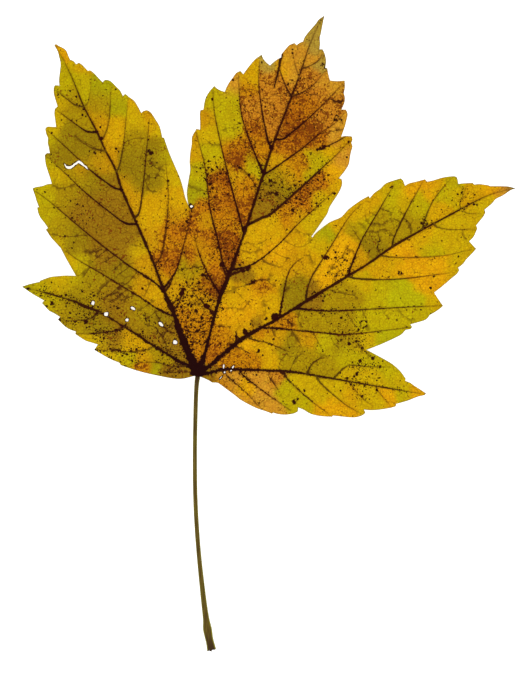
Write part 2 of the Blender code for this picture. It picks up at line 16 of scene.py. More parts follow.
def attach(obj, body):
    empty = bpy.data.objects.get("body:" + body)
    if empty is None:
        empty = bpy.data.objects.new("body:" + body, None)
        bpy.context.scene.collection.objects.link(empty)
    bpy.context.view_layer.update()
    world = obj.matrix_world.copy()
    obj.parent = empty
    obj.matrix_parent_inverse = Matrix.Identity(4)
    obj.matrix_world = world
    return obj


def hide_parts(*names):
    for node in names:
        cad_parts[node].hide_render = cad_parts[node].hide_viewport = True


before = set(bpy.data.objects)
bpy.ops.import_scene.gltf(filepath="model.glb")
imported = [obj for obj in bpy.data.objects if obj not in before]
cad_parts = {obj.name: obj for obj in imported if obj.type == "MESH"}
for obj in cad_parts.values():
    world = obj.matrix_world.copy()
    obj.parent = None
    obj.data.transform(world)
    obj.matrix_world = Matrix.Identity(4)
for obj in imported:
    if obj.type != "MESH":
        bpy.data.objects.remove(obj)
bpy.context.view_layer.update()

MM = 0.001

# The photograph looks straight down, and three of its pixels are one millimetre of the leaf.
# Places given in pixels are turned to millimetres from the knot by from_photo().
PIXELS_PER_MM = 3
KNOT_PIXEL = (198, 370)
PHOTO_CENTRE_PIXEL = (264.5, 350)
PHOTO_HEIGHT_PIXELS = 700

# The blade's form, as in the solid, in millimetres
SOLID_THICKNESS = 0.7
KNOT_FLAT_RADIUS = 1.9
MAIN_RIB_DEPTH = 1.3
MAIN_RIB_TIP_DEPTH = 0.3
MAIN_RIB_TIP_HALF_WIDTH = 0.35
SIDE_RIB_DEPTH = 0.55
SIDE_RIB_TIP_DEPTH = 0.25
SIDE_RIB_HALF_WIDTH = 0.5
SIDE_RIB_TIP_HALF_WIDTH = 0.3
MAIN_SWELL = 1.5
MAIN_SWELL_REACH = 9.0
SIDE_SWELL = 0.45
SIDE_SWELL_REACH = 2.4
RIPPLE_HEIGHT = 1.6
RIPPLE_LENGTH = 17.0
TAPER_POWER = 1.1

# Each lobe's direction in degrees and its length, how high its tip lifts, how far it arches
# between knot and low point, and how clear of the floor its low point stays
LOBES = (
    (-5.9, 76.5, 3.4, 0.9, 0.5),
    (29.7, 122.0, 4.6, 1.3, 0.0),
    (70.4, 125.5, 7.0, 1.8, 0.6),
    (113.9, 118.3, 5.6, 1.4, 0.0),
    (154.7, 65.0, 2.8, 0.8, 0.4),
)
LOW_POINT_SHARE = 0.66
FURTHEST_PAST_LOW = 1.1

# The finer form that the solid leaves out, in millimetres
THICKNESS = 0.42
RIM_THICKNESS = 0.26
TOP_BELOW_SOLID = 0.08
MAIN_GROOVE = 0.22
SIDE_GROOVE = 0.16
TWIG_GROOVE = 0.07
TWIG_RIB = 0.10
RIB_REACH = 1.15
MAIN_GROOVE_REACH = 0.7
SIDE_GROOVE_REACH = 0.45
TWIG_GROOVE_REACH = 0.35
RIM_BREADTH = 1.2
PUCKER = 0.16
PUCKER_REACH = 1.1
PUCKER_LEVEL = 0.7
CRINKLE = 0.12
CRINKLE_LENGTH = 5.5

# Spacing of the mesh's points, in millimetres
MARGIN_STEP = 0.7
VEIN_STEP = 0.7
TWIG_STEP = 0.7
TEAR_STEP = 0.5
FILL_STEP = 0.84
SAME_POINT = 0.02
ROOT_GAP = 0.3
VEIN_GAP = 0.3
TWIG_GAP = 0.3
EDGE_CLEAR = 0.25
TIE_REACH = 2.0
LOOSE_CLEAR = 0.16
CLEAR_OF_LINES = 0.34
RIB_STATIONS = (0.55, 1.0)
MARK_STATIONS = (0.55, 1.0, 1.6)
MARK_STEP = 0.45
CLEAR_SEARCH = 2
SEARCH_CELL = 6.0
ROW_RISE = math.sin(math.radians(60))
NO_LENGTH = 1e-9
NO_WIDTH = 1e-6

# Points worked on at once, to save memory
SORTED_AT_ONCE = 2000
PAINTED_AT_ONCE = 4000

# Faces that look down as steeply as this are the underside, and edges sharper than the angle,
# in degrees, are shaded sharp
UNDERSIDE_TURN = -0.3
SHARP_ANGLE = 60

# The triangulation's output: the triangles inside the first ring, with the edges given to it
KEEP_INSIDE = 2

# How far round a point lines of each kind are looked for
MAIN_SEARCH = 25
RIB_SEARCH = 8
TWIG_GROOVE_SEARCH = 4
RIM_SEARCH = 6
HOLE_SEARCH = 3
BAND_SEARCH = 6
TWIG_SEARCH = 3
MARK_SEARCH = 4.0

# The net of small veins: the size of its meshes, and how evenly and how strongly it shows
SEED = 41
AREOLE = 3.3
SEED_JITTER = 0.36
SEED_CLEAR = 1.0
NET_GAP = 0.9
NET_STATION_STEP = AREOLE * 0.9
NET_EPSILON = 0.001
TWIG_STRENGTHS = (0.1, 0.75)
TWIGS_TO_MARGIN = 0.35
TWIGS_MISSING = 0.22
TWIG_WANDER = 0.42
TWIG_WANDER_LENGTH = 2.6
TWIG_RIB_HALF_WIDTH = 0.3
HAND_TWIG_SHOW = 0.88
HAND_TWIG_LEAST = 0.62
NET_LEAST = 0.45
NET_WITH_FRECKLES = 1.2

# Dark dots, rings and the knot, and how far their browning reaches
RING_HALF_WIDTH = 0.22
HOLE_EDGING = 0.25
KNOT_RADIUS = 2.6
HALO_REACH = 55.0
FEWEST_DOTS = 0.02
DOTS_ANYWHERE = 0.8
DOTS_ALONG_VEINS = 2.0
DOTS_VEIN_REACH = 0.9

# How soft a patch of colour is, and the lengths and heights of the noise that bends its border
PATCH_SOFTNESS = 0.8
PATCH_WARP = ((8.0, 1.8), (2.8, 1.1))

# Half the breadth of each main vein's dark band, in millimetres, against the share of its length
MAIN_BANDS = {
    "left basal": ((0, 0.85), (0.08, 0.6), (0.2, 0.46), (0.3, 0.38), (0.4, 0.34), (0.6, 0.25), (0.8, 0.17),
                   (1, 0.08)),
    "left": ((0, 1.3), (0.04, 1.35), (0.07, 1.15), (0.11, 0.96), (0.16, 0.96), (0.21, 0.9), (0.245, 0.58),
             (0.3, 0.46), (0.43, 0.4), (0.56, 0.36), (0.73, 0.29), (0.9, 0.19), (1, 0.08)),
    "middle": ((0, 0.9), (0.056, 0.58), (0.1, 0.48), (0.15, 0.54), (0.2, 0.62), (0.25, 0.68), (0.3, 0.54),
               (0.36, 0.46), (0.51, 0.42), (0.63, 0.38), (0.78, 0.32), (0.9, 0.2), (1, 0.08)),
    "right": ((0, 0.9), (0.1, 0.66), (0.2, 0.62), (0.28, 0.52), (0.36, 0.48), (0.49, 0.42), (0.65, 0.36),
              (0.8, 0.28), (0.9, 0.18), (1, 0.08)),
    "right basal": ((0, 0.7), (0.1, 0.52), (0.22, 0.5), (0.3, 0.42), (0.45, 0.37), (0.6, 0.31), (0.75, 0.25),
                    (0.88, 0.17), (1, 0.08)),
}
SIDE_BAND = ((0, 0.42), (0.1, 0.3), (0.5, 0.2), (1, 0.1))
MAIN_TIP_TONE = 0.6
SIDE_ROOT_TONE = 0.1
FAINTEST_BAND = 0.4
VEIN_UNEVENNESS = 0.45
VEIN_UNEVEN_LENGTH = 3.2

# How strongly a vein shows along its length: it fades towards the margin
MAIN_SHOW = ((0, 1), (0.85, 0.95), (1, 0.25))
SIDE_SHOW = ((0, 1), (0.7, 0.95), (1, 0.5))

# Strokes of dead tissue, in photograph pixels: the course, and half its breadth in millimetres at
# either end
SCARS = (
    (((281.7, 54), (279.5, 64), (278, 72), (276, 80), (274, 88)), 0.5, 0.2),
    (((324, 147.5), (330, 145), (337, 141.5), (346, 136.5)), 0.2, 0.14),
    (((227, 277), (224.5, 271), (222.3, 265), (221.5, 258)), 0.4, 0.25),
    (((231, 272), (234, 266), (236, 260)), 0.3, 0.15),
    (((232, 274), (238, 272), (244, 269), (251, 266.5)), 0.45, 0.15),
    (((247, 284.6), (251, 283.4), (256, 281)), 0.2, 0.2),
    (((165.5, 291), (169.5, 285), (172.5, 279), (175, 273)), 0.4, 0.15),
    (((168.5, 307.5), (173, 304), (177, 300)), 0.35, 0.15),
    (((184, 298), (182.5, 293), (181, 288)), 0.2, 0.1),
    (((200, 299), (204, 304), (208, 308), (214.5, 314)), 0.15, 0.4),
    (((145, 315), (147, 322)), 0.15, 0.1),
    (((237, 340), (236.5, 335.5), (236, 331.5)), 0.25, 0.02),
    (((253.2, 331), (252.7, 325), (252.2, 319)), 0.15, 0.02),
    (((389, 257), (386, 256), (383, 256)), 0.2, 0.15),
    (((71, 300.5), (79, 304), (88, 308), (99, 311.5)), 0.3, 0.46),
    (((45, 292), (52, 294.5), (60, 297)), 0.28, 0.2),
    (((99, 311), (92, 317.5), (84, 320), (76, 320.5)), 0.24, 0.1),
    (((126, 324), (118, 331), (105, 332.5), (92, 333.5)), 0.26, 0.2),
    (((154, 346.5), (145, 350), (130, 352), (110, 349)), 0.16, 0.18),
    (((183, 290), (181, 297), (178.5, 304), (175.5, 309)), 0.36, 0.12),
    (((255, 221.5), (272, 213.1), (286, 201), (300, 188.5), (312, 177.5), (320, 170)), 0.46, 0.3),
    (((228, 273), (222.9, 262.6), (218.7, 243.7), (214, 225), (210, 208)), 0.3, 0.22),
    (((243, 231), (237.9, 211.3), (231, 184), (224.5, 160)), 0.3, 0.18),
)

SCAR_RIB_HALF_WIDTH = 0.3
SCAR_RIB_DEPTH = 0.05
SCAR_TONE = 0.3
SCAR_SHOW = 0.95

# Pattern sizes in millimetres
CLOUD_SIZE = 6.0
CLUMP_SIZE = 2.4
GRAIN_SIZE = 0.62
FRAY_SIZE = 0.8
FINEST_MESH = 0.95
DOT_SIZES = ((2.0, 0.14, 0.44), (1.15, 0.11, 0.29), (0.75, 0.08, 0.2))
DOT_WARP = 1.1
VEIN_FRAY = 0.65
HALO_FRAY = 2.6
STREAK_SIZE = 0.5
STREAK_DRAW = 0.06
BLOTCH_SIZE = 7

# The floor and the light, in metres and watts
FLOOR_HALF_SIZE = 3.0
FLOOR_COLOUR = "#C8C8C8"
FLOOR_GLOW = 0.8
ROOM_LIGHT = 1.2
LAMP_SIZE = 1.6
LAMP_POWER = 5.0
LAMP_PLACE = Vector((-0.15, 0.25, 1.6))

# The leaf's colours are named as they look with light shining through. Its surface is darker.
LEAF_SHADE = 0.8

# The camera, with the heights of the blade and of the camera itself in millimetres
LENS = 100
SENSOR = 36
BLADE_LEVEL = 2.0
CAMERA_HEIGHT = BLADE_LEVEL + PHOTO_HEIGHT_PIXELS / PIXELS_PER_MM * LENS / SENSOR

# The margin, clockwise from the left of the stalk. Each row is one side of a tooth: a smooth
# curve from the end of the row before it, with a corner at its own end.
MARGIN_START = (-1.3, -2.0)
LEFT_BASAL_LOBE = (
    ((-5.0, -2.9), (-8.5, -2.8), (-14.3, -1.7), (-19.0, -0.6), (-22.3, 0.4), (-25.7, 1.6)),
    ((-26.2, 2.4),),
    ((-28.7, 3.4), (-31.0, 4.6), (-34.6, 6.7)),
    ((-33.4, 8.5),),
    ((-35.7, 9.2), (-37.3, 9.7), (-39.0, 10.7), (-40.9, 12.0)),
    ((-40.7, 12.8),),
    ((-42.7, 13.5), (-44.3, 14.5), (-45.7, 15.8), (-46.7, 16.8)),
    ((-46.0, 17.7),),
    ((-48.0, 18.9), (-49.7, 19.8), (-50.8, 21.0), (-52.0, 22.3)),
    ((-51.3, 23.2),),
    ((-53.7, 24.5), (-56.0, 25.9), (-58.7, 27.8)),
    ((-56.7, 28.5), (-54.3, 29.1), (-52.8, 29.4)),
    ((-52.6, 29.8),),
    ((-49.3, 31.0), (-46.7, 31.3), (-44.0, 31.5), (-40.7, 31.4)),
)
LEFT_LOBE = (
    ((-42.3, 34.2), (-44.0, 37.2), (-45.8, 40.7)),
    ((-47.3, 42.3), (-49.0, 44.2), (-50.7, 46.8)),
    ((-50.0, 47.3),),
    ((-51.3, 49.2), (-52.5, 50.7), (-53.3, 52.5), (-53.6, 54.2)),
    ((-53.0, 54.3),),
    ((-53.7, 56.0), (-54.3, 58.0), (-55.2, 60.5)),
    ((-54.0, 61.0), (-52.0, 61.3), (-50.3, 61.9), (-48.7, 62.1)),
    ((-49.3, 64.0), (-50.2, 66.7), (-50.8, 68.8), (-51.1, 71.5)),
    ((-50.4, 72.3), (-49.4, 72.3)),
    ((-49.7, 74.0), (-50.1, 75.8), (-50.0, 77.2), (-50.7, 79.0), (-50.9, 80.5)),
    ((-50.3, 81.1), (-47.3, 81.0)),
    ((-47.6, 83.3), (-47.9, 85.5), (-47.7, 87.1)),
    ((-46.8, 87.8),),
    ((-47.5, 90.0), (-48.1, 92.3), (-48.1, 94.2)),
    ((-47.7, 94.9), (-46.2, 94.8)),
    ((-46.3, 97.0), (-45.8, 101.8), (-46.2, 104.0), (-46.8, 106.2), (-47.9, 108.2)),
    ((-47.4, 108.7),),
    ((-46.3, 108.0), (-44.7, 107.2), (-43.8, 106.3), (-43.3, 105.0), (-42.6, 103.4)),
    ((-41.5, 103.0), (-40.6, 101.9)),
    ((-39.8, 102.4), (-38.8, 101.9), (-37.7, 100.8), (-36.7, 99.7)),
    ((-36.0, 99.9), (-34.8, 99.1), (-33.3, 97.5), (-31.8, 95.9)),
    ((-31.0, 96.7), (-30.2, 96.7), (-29.0, 96.2), (-27.3, 94.5), (-26.0, 93.2), (-25.0, 91.3)),
    ((-24.2, 92.0), (-23.0, 91.0), (-21.3, 89.8), (-20.0, 87.8), (-18.9, 85.7)),
    ((-18.0, 86.4), (-17.0, 86.6), (-15.7, 85.8), (-14.0, 83.3), (-12.7, 81.0), (-11.9, 77.5)),
    ((-11.3, 77.4),),
    ((-10.5, 75.0), (-9.3, 71.7), (-7.7, 68.0), (-6.0, 64.0), (-5.0, 60.7), (-4.2, 57.3), (-3.2, 55.0)),
)
MIDDLE_LOBE = (
    ((-3.5, 56.7), (-3.7, 59.3), (-3.2, 63.0), (-2.6, 66.7), (-2.8, 69.3), (-2.6, 72.3), (-2.1, 75.3),
     (-2.0, 77.7), (-0.5, 80.4)),
    ((0.7, 80.1),),
    ((0.7, 82.7), (0.6, 85.3), (0.8, 86.6)),
    ((1.8, 86.8),),
    ((2.1, 89.0), (2.6, 90.8), (3.7, 92.7), (5.4, 94.7)),
    ((6.5, 93.7), (7.7, 93.1), (8.9, 92.7)),
    ((9.4, 94.0), (10.3, 95.7), (11.7, 97.6), (12.7, 99.0), (14.1, 99.7)),
    ((15.1, 98.6),),
    ((16.3, 100.3), (17.8, 102.2), (19.3, 103.8), (21.2, 105.1)),
    ((21.8, 103.7), (22.8, 102.5), (24.0, 101.5)),
    ((25.3, 102.7), (26.7, 103.7), (27.7, 104.2)),
    ((27.8, 105.3),),
    ((29.0, 106.7), (30.3, 108.2), (32.1, 109.0)),
    ((32.9, 108.3),),
    ((34.0, 109.1), (35.0, 109.5)),
    ((35.5, 110.8), (36.7, 112.5), (39.3, 115.5), (40.2, 116.8), (42.2, 118.2)),
    ((41.8, 116.5), (41.0, 112.3), (40.6, 110.7), (40.7, 108.7), (40.5, 106.9)),
    ((41.5, 106.9),),
    ((42.2, 105.5), (42.7, 103.3), (42.6, 101.8), (42.4, 100.7)),
    ((43.1, 100.6),),
    ((43.4, 98.8), (44.0, 96.5)),
    ((46.3, 96.3), (48.9, 96.5)),
    ((49.0, 94.3), (48.6, 92.3)),
    ((49.0, 90.5), (48.7, 88.8), (47.8, 86.8)),
    ((49.3, 86.8),),
    ((49.9, 85.3), (49.5, 83.3), (48.9, 81.0), (47.7, 77.7)),
    ((49.0, 78.0), (51.2, 77.9)),
    ((51.5, 76.8), (51.1, 75.7)),
    ((51.5, 74.5), (51.0, 72.7), (50.6, 70.5)),
    ((50.3, 68.7), (49.2, 66.7), (47.0, 63.9)),
    ((47.8, 63.7), (48.1, 62.3), (47.7, 60.7), (46.7, 58.7), (44.0, 54.5), (43.2, 52.3), (41.7, 50.0),
     (38.7, 45.7), (37.8, 44.5)),
)
RIGHT_LOBE = (
    ((38.2, 44.2),),
    ((39.3, 45.7), (43.0, 48.7), (45.0, 49.8), (47.7, 51.0), (50.3, 53.7), (54.0, 56.4), (56.8, 58.0)),
    ((57.3, 57.3),),
    ((58.7, 59.0), (60.7, 60.4), (62.3, 62.0), (64.0, 62.8), (67.5, 63.9)),
    ((68.3, 63.3), (69.0, 61.4)),
    ((70.3, 62.2), (72.3, 62.7), (75.7, 63.6)),
    ((76.3, 62.8),),
    ((78.0, 63.1), (81.3, 64.1), (83.7, 64.5), (85.3, 64.6)),
    ((86.3, 64.2), (86.8, 62.0)),
    ((88.0, 62.2), (91.5, 62.4)),
    ((92.1, 61.8),),
    ((93.7, 62.0), (96.8, 61.6)),
    ((97.3, 61.3),),
    ((99.0, 61.3), (103.3, 61.2), (106.0, 60.5)),
    ((104.2, 59.9), (101.7, 58.2), (99.3, 57.0), (98.0, 55.5), (95.5, 53.4)),
    ((95.8, 52.5),),
    ((95.2, 51.3), (94.2, 50.0), (92.7, 48.2)),
    ((93.1, 47.2),),
    ((92.5, 45.7), (91.8, 44.3), (90.4, 42.9)),
    ((91.3, 41.9), (92.7, 40.4)),
    ((91.7, 39.2), (89.3, 36.7), (88.5, 35.5), (86.7, 34.1)),
    ((87.1, 33.3),),
    ((86.3, 32.0), (84.7, 30.7), (81.3, 27.8), (78.7, 25.8)),
    ((80.0, 23.8), (81.7, 21.4)),
    ((81.0, 20.7), (79.3, 19.5), (77.2, 18.3)),
    ((76.8, 17.6),),
    ((75.8, 16.7), (73.7, 16.0), (70.8, 15.2)),
    ((71.4, 14.3),),
    ((70.8, 13.6), (69.3, 13.4), (68.7, 12.8)),
    ((68.0, 12.0), (66.3, 11.0), (61.3, 8.7), (56.2, 6.7)),
)
RIGHT_BASAL_LOBE = (
    ((58.0, 5.8), (63.7, 2.7), (66.0, 1.0), (67.7, -0.7), (69.2, -2.8)),
    ((69.1, -3.6),),
    ((70.7, -4.2), (72.2, -5.3), (74.0, -6.4), (76.1, -7.8)),
    ((75.5, -8.4), (73.3, -8.9), (69.7, -10.3), (66.1, -11.3)),
    ((65.9, -12.1),),
    ((64.3, -12.6), (60.0, -13.3), (57.3, -13.4), (55.3, -13.2)),
    ((55.8, -14.2),),
    ((55.0, -15.0), (53.0, -15.7), (50.7, -15.8), (45.0, -15.2)),
    ((44.7, -15.6),),
    ((42.3, -15.5), (39.7, -15.2), (37.3, -14.5), (35.3, -13.3), (33.4, -12.5)),
    ((33.3, -13.8),),
    ((32.0, -14.5), (29.3, -14.9), (26.7, -14.7), (25.0, -14.2)),
    ((24.7, -14.6),),
    ((23.0, -13.9), (19.0, -12.5), (14.3, -10.0), (12.0, -8.2), (6.7, -4.3)),
    ((5.7, -4.2), (4.7, -4.2), (3.7, -3.5), (1.0, -2.3)),
)
MARGIN = LEFT_BASAL_LOBE + LEFT_LOBE + MIDDLE_LOBE + RIGHT_LOBE + RIGHT_BASAL_LOBE

# Each main vein: its rib's half width at the knot, and its course from the knot to a lobe's tip
MAIN_VEINS = {
    "left basal": (0.8, ((0.0, 0.0), (-6.0, 2.7), (-11.0, 5.8), (-16.0, 8.8), (-20.3, 11.8), (-25.3, 14.8),
                         (-30.7, 18.2), (-36.0, 20.7), (-41.0, 22.8), (-51.0, 25.8), (-57.4, 27.4))),
    "left": (1.2, ((0.0, 0.0), (-2.5, 4.2), (-4.5, 9.0), (-6.3, 13.2), (-7.8, 18.3), (-11.4, 26.4),
                   (-14.8, 35.8), (-19.5, 46.8), (-25.3, 60.0), (-27.5, 66.8), (-31.0, 73.5), (-33.8, 79.7),
                   (-38.0, 87.7), (-41.5, 96.3), (-44.5, 102.7), (-47.0, 107.2))),
    "middle": (1.1, ((0.0, 0.0), (1.5, 3.0), (3.5, 9.9), (5.5, 18.0), (7.8, 25.4), (10.6, 32.3), (15.8, 46.7),
                     (19.4, 57.8), (24.6, 73.9), (27.2, 80.8), (31.2, 91.1), (34.6, 100.4), (37.0, 107.7),
                     (39.5, 113.6), (41.5, 117.2))),
    "right": (1.1, ((0.0, 0.0), (3.2, 0.9), (8.4, 5.3), (14.1, 9.9), (19.8, 13.4), (26.1, 16.8), (35.9, 22.8),
                    (41.6, 26.3), (50.3, 31.5), (57.3, 35.8), (65.0, 41.2), (74.7, 46.7), (84.0, 51.7),
                    (90.7, 55.3), (97.3, 58.4), (104.8, 60.4))),
    "right basal": (0.9, ((0.0, 0.0), (2.3, -1.1), (5.3, -0.6), (9.0, 0.2), (19.0, 0.0), (29.0, -0.4),
                          (34.0, -1.0), (44.0, -2.7), (57.3, -5.0), (71.3, -7.4), (75.0, -7.8))),
}

# Each side vein: the main vein that it leaves, how strongly it shows, and its course to the margin
SIDE_VEINS = (
    ("left basal", 0.77, ((-3.4, 1.5), (-9.3, 1.2), (-12.7, 2.3), (-18.7, 2.5), (-22.7, 2.0))),
    ("left basal", 0.64, ((-15.0, 8.2), (-16.3, 7.0), (-19.0, 6.4), (-26.7, 6.0), (-33.4, 6.8))),
    ("left basal", 0.77, ((-24.8, 14.5), (-26.3, 13.3), (-29.0, 12.8), (-36.0, 12.0), (-39.8, 12.1))),
    ("left basal", 0.64, ((-33.0, 19.2), (-34.5, 17.7), (-37.0, 16.8), (-44.0, 16.4), (-46.0, 16.9))),
    ("left", 1, ((-7.6, 17.7), (-13.2, 20.3), (-20.0, 24.7), (-32.3, 32.2), (-39.7, 36.5), (-44.0, 39.6))),
    ("left", 1, ((-11.5, 26.5), (-15.1, 29.6), (-24.7, 36.0), (-36.0, 44.8), (-49.3, 56.0), (-54.2, 59.6))),
    ("left", 1, ((-20.5, 48.3), (-24.3, 49.0), (-29.4, 52.6), (-37.4, 59.0), (-44.0, 65.3), (-50.2, 71.0))),
    ("left", 1, ((-25.5, 59.8), (-28.7, 61.2), (-36.0, 66.7), (-43.2, 73.5), (-50.1, 79.8))),
    ("left", 0.64, ((-30.8, 73.1), (-33.0, 73.3), (-36.0, 74.3), (-42.0, 78.0))),
    ("left", 1, ((-33.7, 79.3), (-36.0, 79.3), (-38.3, 80.2), (-46.6, 86.2))),
    ("left", 0.77, ((-38.0, 87.6), (-40.0, 88.0), (-42.0, 89.0), (-47.1, 93.1))),
    ("left", 1, ((-11.5, 26.8), (-8.8, 30.5), (-6.6, 34.9), (-4.6, 42.3), (-2.7, 50.0), (-3.0, 53.4))),
    ("left", 0.77, ((-14.5, 35.0), (-12.3, 38.0), (-10.7, 46.7), (-9.9, 58.0), (-10.8, 70.0))),
    ("left", 0.9, ((-21.0, 50.4), (-19.5, 52.7), (-18.3, 61.0), (-17.3, 71.3), (-16.2, 83.5))),
    ("left", 0.7, ((-27.3, 66.1), (-26.2, 68.0), (-24.9, 74.7), (-24.0, 83.3), (-23.3, 89.5))),
    ("left", 0.7, ((-32.4, 76.6), (-31.2, 78.0), (-29.6, 83.3), (-29.0, 93.5))),
    ("left", 0.38, ((-37.9, 87.6), (-36.8, 89.0), (-35.8, 93.3), (-35.5, 98.0))),
    ("middle", 1, ((7.6, 24.7), (5.0, 29.0), (2.0, 34.7), (-0.7, 42.3), (-1.3, 46.0))),
    ("middle", 1, ((10.4, 31.8), (8.3, 35.8), (6.9, 42.1), (4.0, 54.0), (2.5, 67.0), (-0.6, 79.0))),
    ("middle", 1, ((15.3, 45.3), (13.3, 52.9), (8.7, 70.5), (5.5, 85.7), (5.0, 93.2))),
    ("middle", 1, ((21.8, 65.2), (19.8, 70.0), (16.3, 79.0), (14.2, 87.0), (13.5, 98.2))),
    ("middle", 1, ((24.5, 73.7), (23.3, 76.5), (21.6, 84.7), (20.3, 94.7), (20.5, 103.0))),
    ("middle", 0.9, ((31.2, 91.1), (29.5, 94.0), (27.4, 99.7), (27.2, 103.0))),
    ("middle", 0.51, ((33.8, 98.2), (32.7, 100.5), (31.2, 107.0))),
    ("middle", 1, ((11.0, 33.1), (15.8, 34.3), (20.4, 36.6), (27.3, 42.3), (34.0, 49.3), (45.4, 59.6))),
    ("middle", 1, ((16.3, 48.1), (20.9, 50.5), (24.7, 52.3), (34.0, 60.5), (40.7, 66.7), (46.7, 72.2),
                (50.4, 76.4))),
    ("middle", 1, ((21.9, 65.2), (24.0, 66.3), (34.0, 73.3), (40.0, 78.3), (46.0, 82.5), (48.7, 85.6))),
    ("middle", 1, ((25.9, 76.6), (28.4, 77.0), (31.8, 79.6), (36.2, 83.3), (40.7, 87.5), (44.6, 91.5),
                (48.2, 95.4))),
    ("middle", 0.77, ((31.4, 91.5), (33.7, 92.0), (38.3, 94.8), (42.5, 99.8))),
    ("middle", 0.77, ((34.8, 100.7), (36.3, 100.8), (40.0, 103.0), (41.6, 105.6))),
    ("right", 1, ((27.3, 17.5), (28.2, 23.7), (29.9, 31.7), (31.9, 35.2), (35.0, 37.5))),
    ("right", 0.9, ((35.7, 22.7), (36.5, 27.1), (38.2, 31.5), (44.0, 40.8), (50.0, 50.5), (54.3, 55.2))),
    ("right", 1, ((50.3, 31.5), (50.8, 34.0), (54.7, 43.5), (60.0, 52.7), (65.4, 62.0))),
    ("right", 0.9, ((65.0, 41.2), (65.1, 43.5), (69.0, 52.0), (74.8, 62.6))),
    ("right", 0.77, ((75.0, 46.8), (75.3, 49.2), (78.3, 56.3), (84.0, 63.6))),
    ("right", 0.51, ((87.7, 53.7), (87.3, 55.7), (89.6, 61.2))),
    ("right", 0.9, ((15.8, 10.9), (19.8, 9.8), (23.3, 9.0), (30.5, 6.0))),
    ("right", 1, ((21.0, 14.0), (26.7, 13.8), (42.3, 12.3), (50.7, 11.9), (70.4, 14.2))),
    ("right", 1, ((32.3, 20.4), (39.9, 19.8), (48.5, 19.8), (70.3, 21.0), (81.0, 21.4))),
    ("right", 0.9, ((50.2, 31.4), (51.7, 30.6), (60.7, 30.1), (70.0, 30.6), (84.0, 32.4))),
    ("right", 0.64, ((60.8, 38.3), (63.3, 37.7), (72.0, 37.5), (82.3, 38.2), (91.8, 40.3))),
    ("right", 0.64, ((78.7, 48.8), (79.7, 47.6), (84.7, 46.8), (92.2, 47.0))),
    ("right", 0.51, ((88.2, 53.9), (89.3, 52.3), (94.9, 52.0))),
    ("right basal", 0.77, ((36.5, -1.4), (37.5, 1.3), (39.5, 3.2), (43.7, 4.8))),
    ("right basal", 0.77, ((45.5, -2.9), (46.7, -1.2), (50.3, 1.5), (57.0, 1.1), (64.0, 1.0))),
    ("right basal", 0.9, ((8.0, 0.0), (9.7, -2.0), (15.7, -7.2), (20.0, -11.7))),
    ("right basal", 1, ((13.5, 0.1), (15.3, -2.0), (21.7, -7.0), (31.0, -13.6))),
    ("right basal", 0.9, ((28.0, -0.4), (31.0, -4.2), (38.0, -10.5), (43.6, -14.7))),
    ("right basal", 0.77, ((39.5, -2.0), (41.7, -5.2), (48.7, -11.2), (54.5, -14.7))),
    ("right basal", 0.51, ((51.2, -3.8), (51.7, -5.7), (54.2, -8.9), (58.4, -12.2))),
    ("right basal", 0.51, ((59.3, -5.3), (60.0, -7.0), (64.2, -12.0))),
)

# The stalk from inside the knot to its swollen foot: x, y, the height of its middle, and radius
STALK = (
    (0.0, 0.6, 0.62, 0.46),
    (-0.1, -1.8, 0.86, 0.80),
    (-0.4, -4.0, 1.15, 0.80),
    (-0.6, -7.0, 1.50, 0.74),
    (-0.8, -13.3, 2.10, 0.74),
    (-1.0, -26.7, 2.90, 0.72),
    (-0.9, -40.0, 3.20, 0.74),
    (-0.4, -51.7, 3.10, 0.76),
    (0.5, -63.3, 2.70, 0.78),
    (1.9, -76.7, 1.95, 0.92),
    (2.7, -83.0, 1.55, 1.08),
    (3.1, -86.3, 1.48, 1.48),
    (3.7, -89.6, 1.36, 1.34),
    (4.1, -91.3, 1.38, 1.36),
    (4.6, -93.6, 1.58, 1.56),
)
STALK_STEP = 0.9
STALK_SIDES = 36
FOOT_TORN = 1.0
FOOT_TEAR_FINENESS = 2.2
FOOT_TEAR_LEVEL = 0.15
FOOT_HOLLOW = 1.4
FOOT_HOLLOW_NARROWS = 0.45
# Where the stalk's sides, seen from above, start to be painted lighter and greener as a share of its radius,
# and how broad that painted backlight is
BACKLIT_FLANK_FROM = 0.66
BACKLIT_FLANK_BREADTH = 0.3
UPPER_END, UPPER_END_LENGTH = -8.5, 6
LOWER_END, LOWER_END_LENGTH = -86, 7

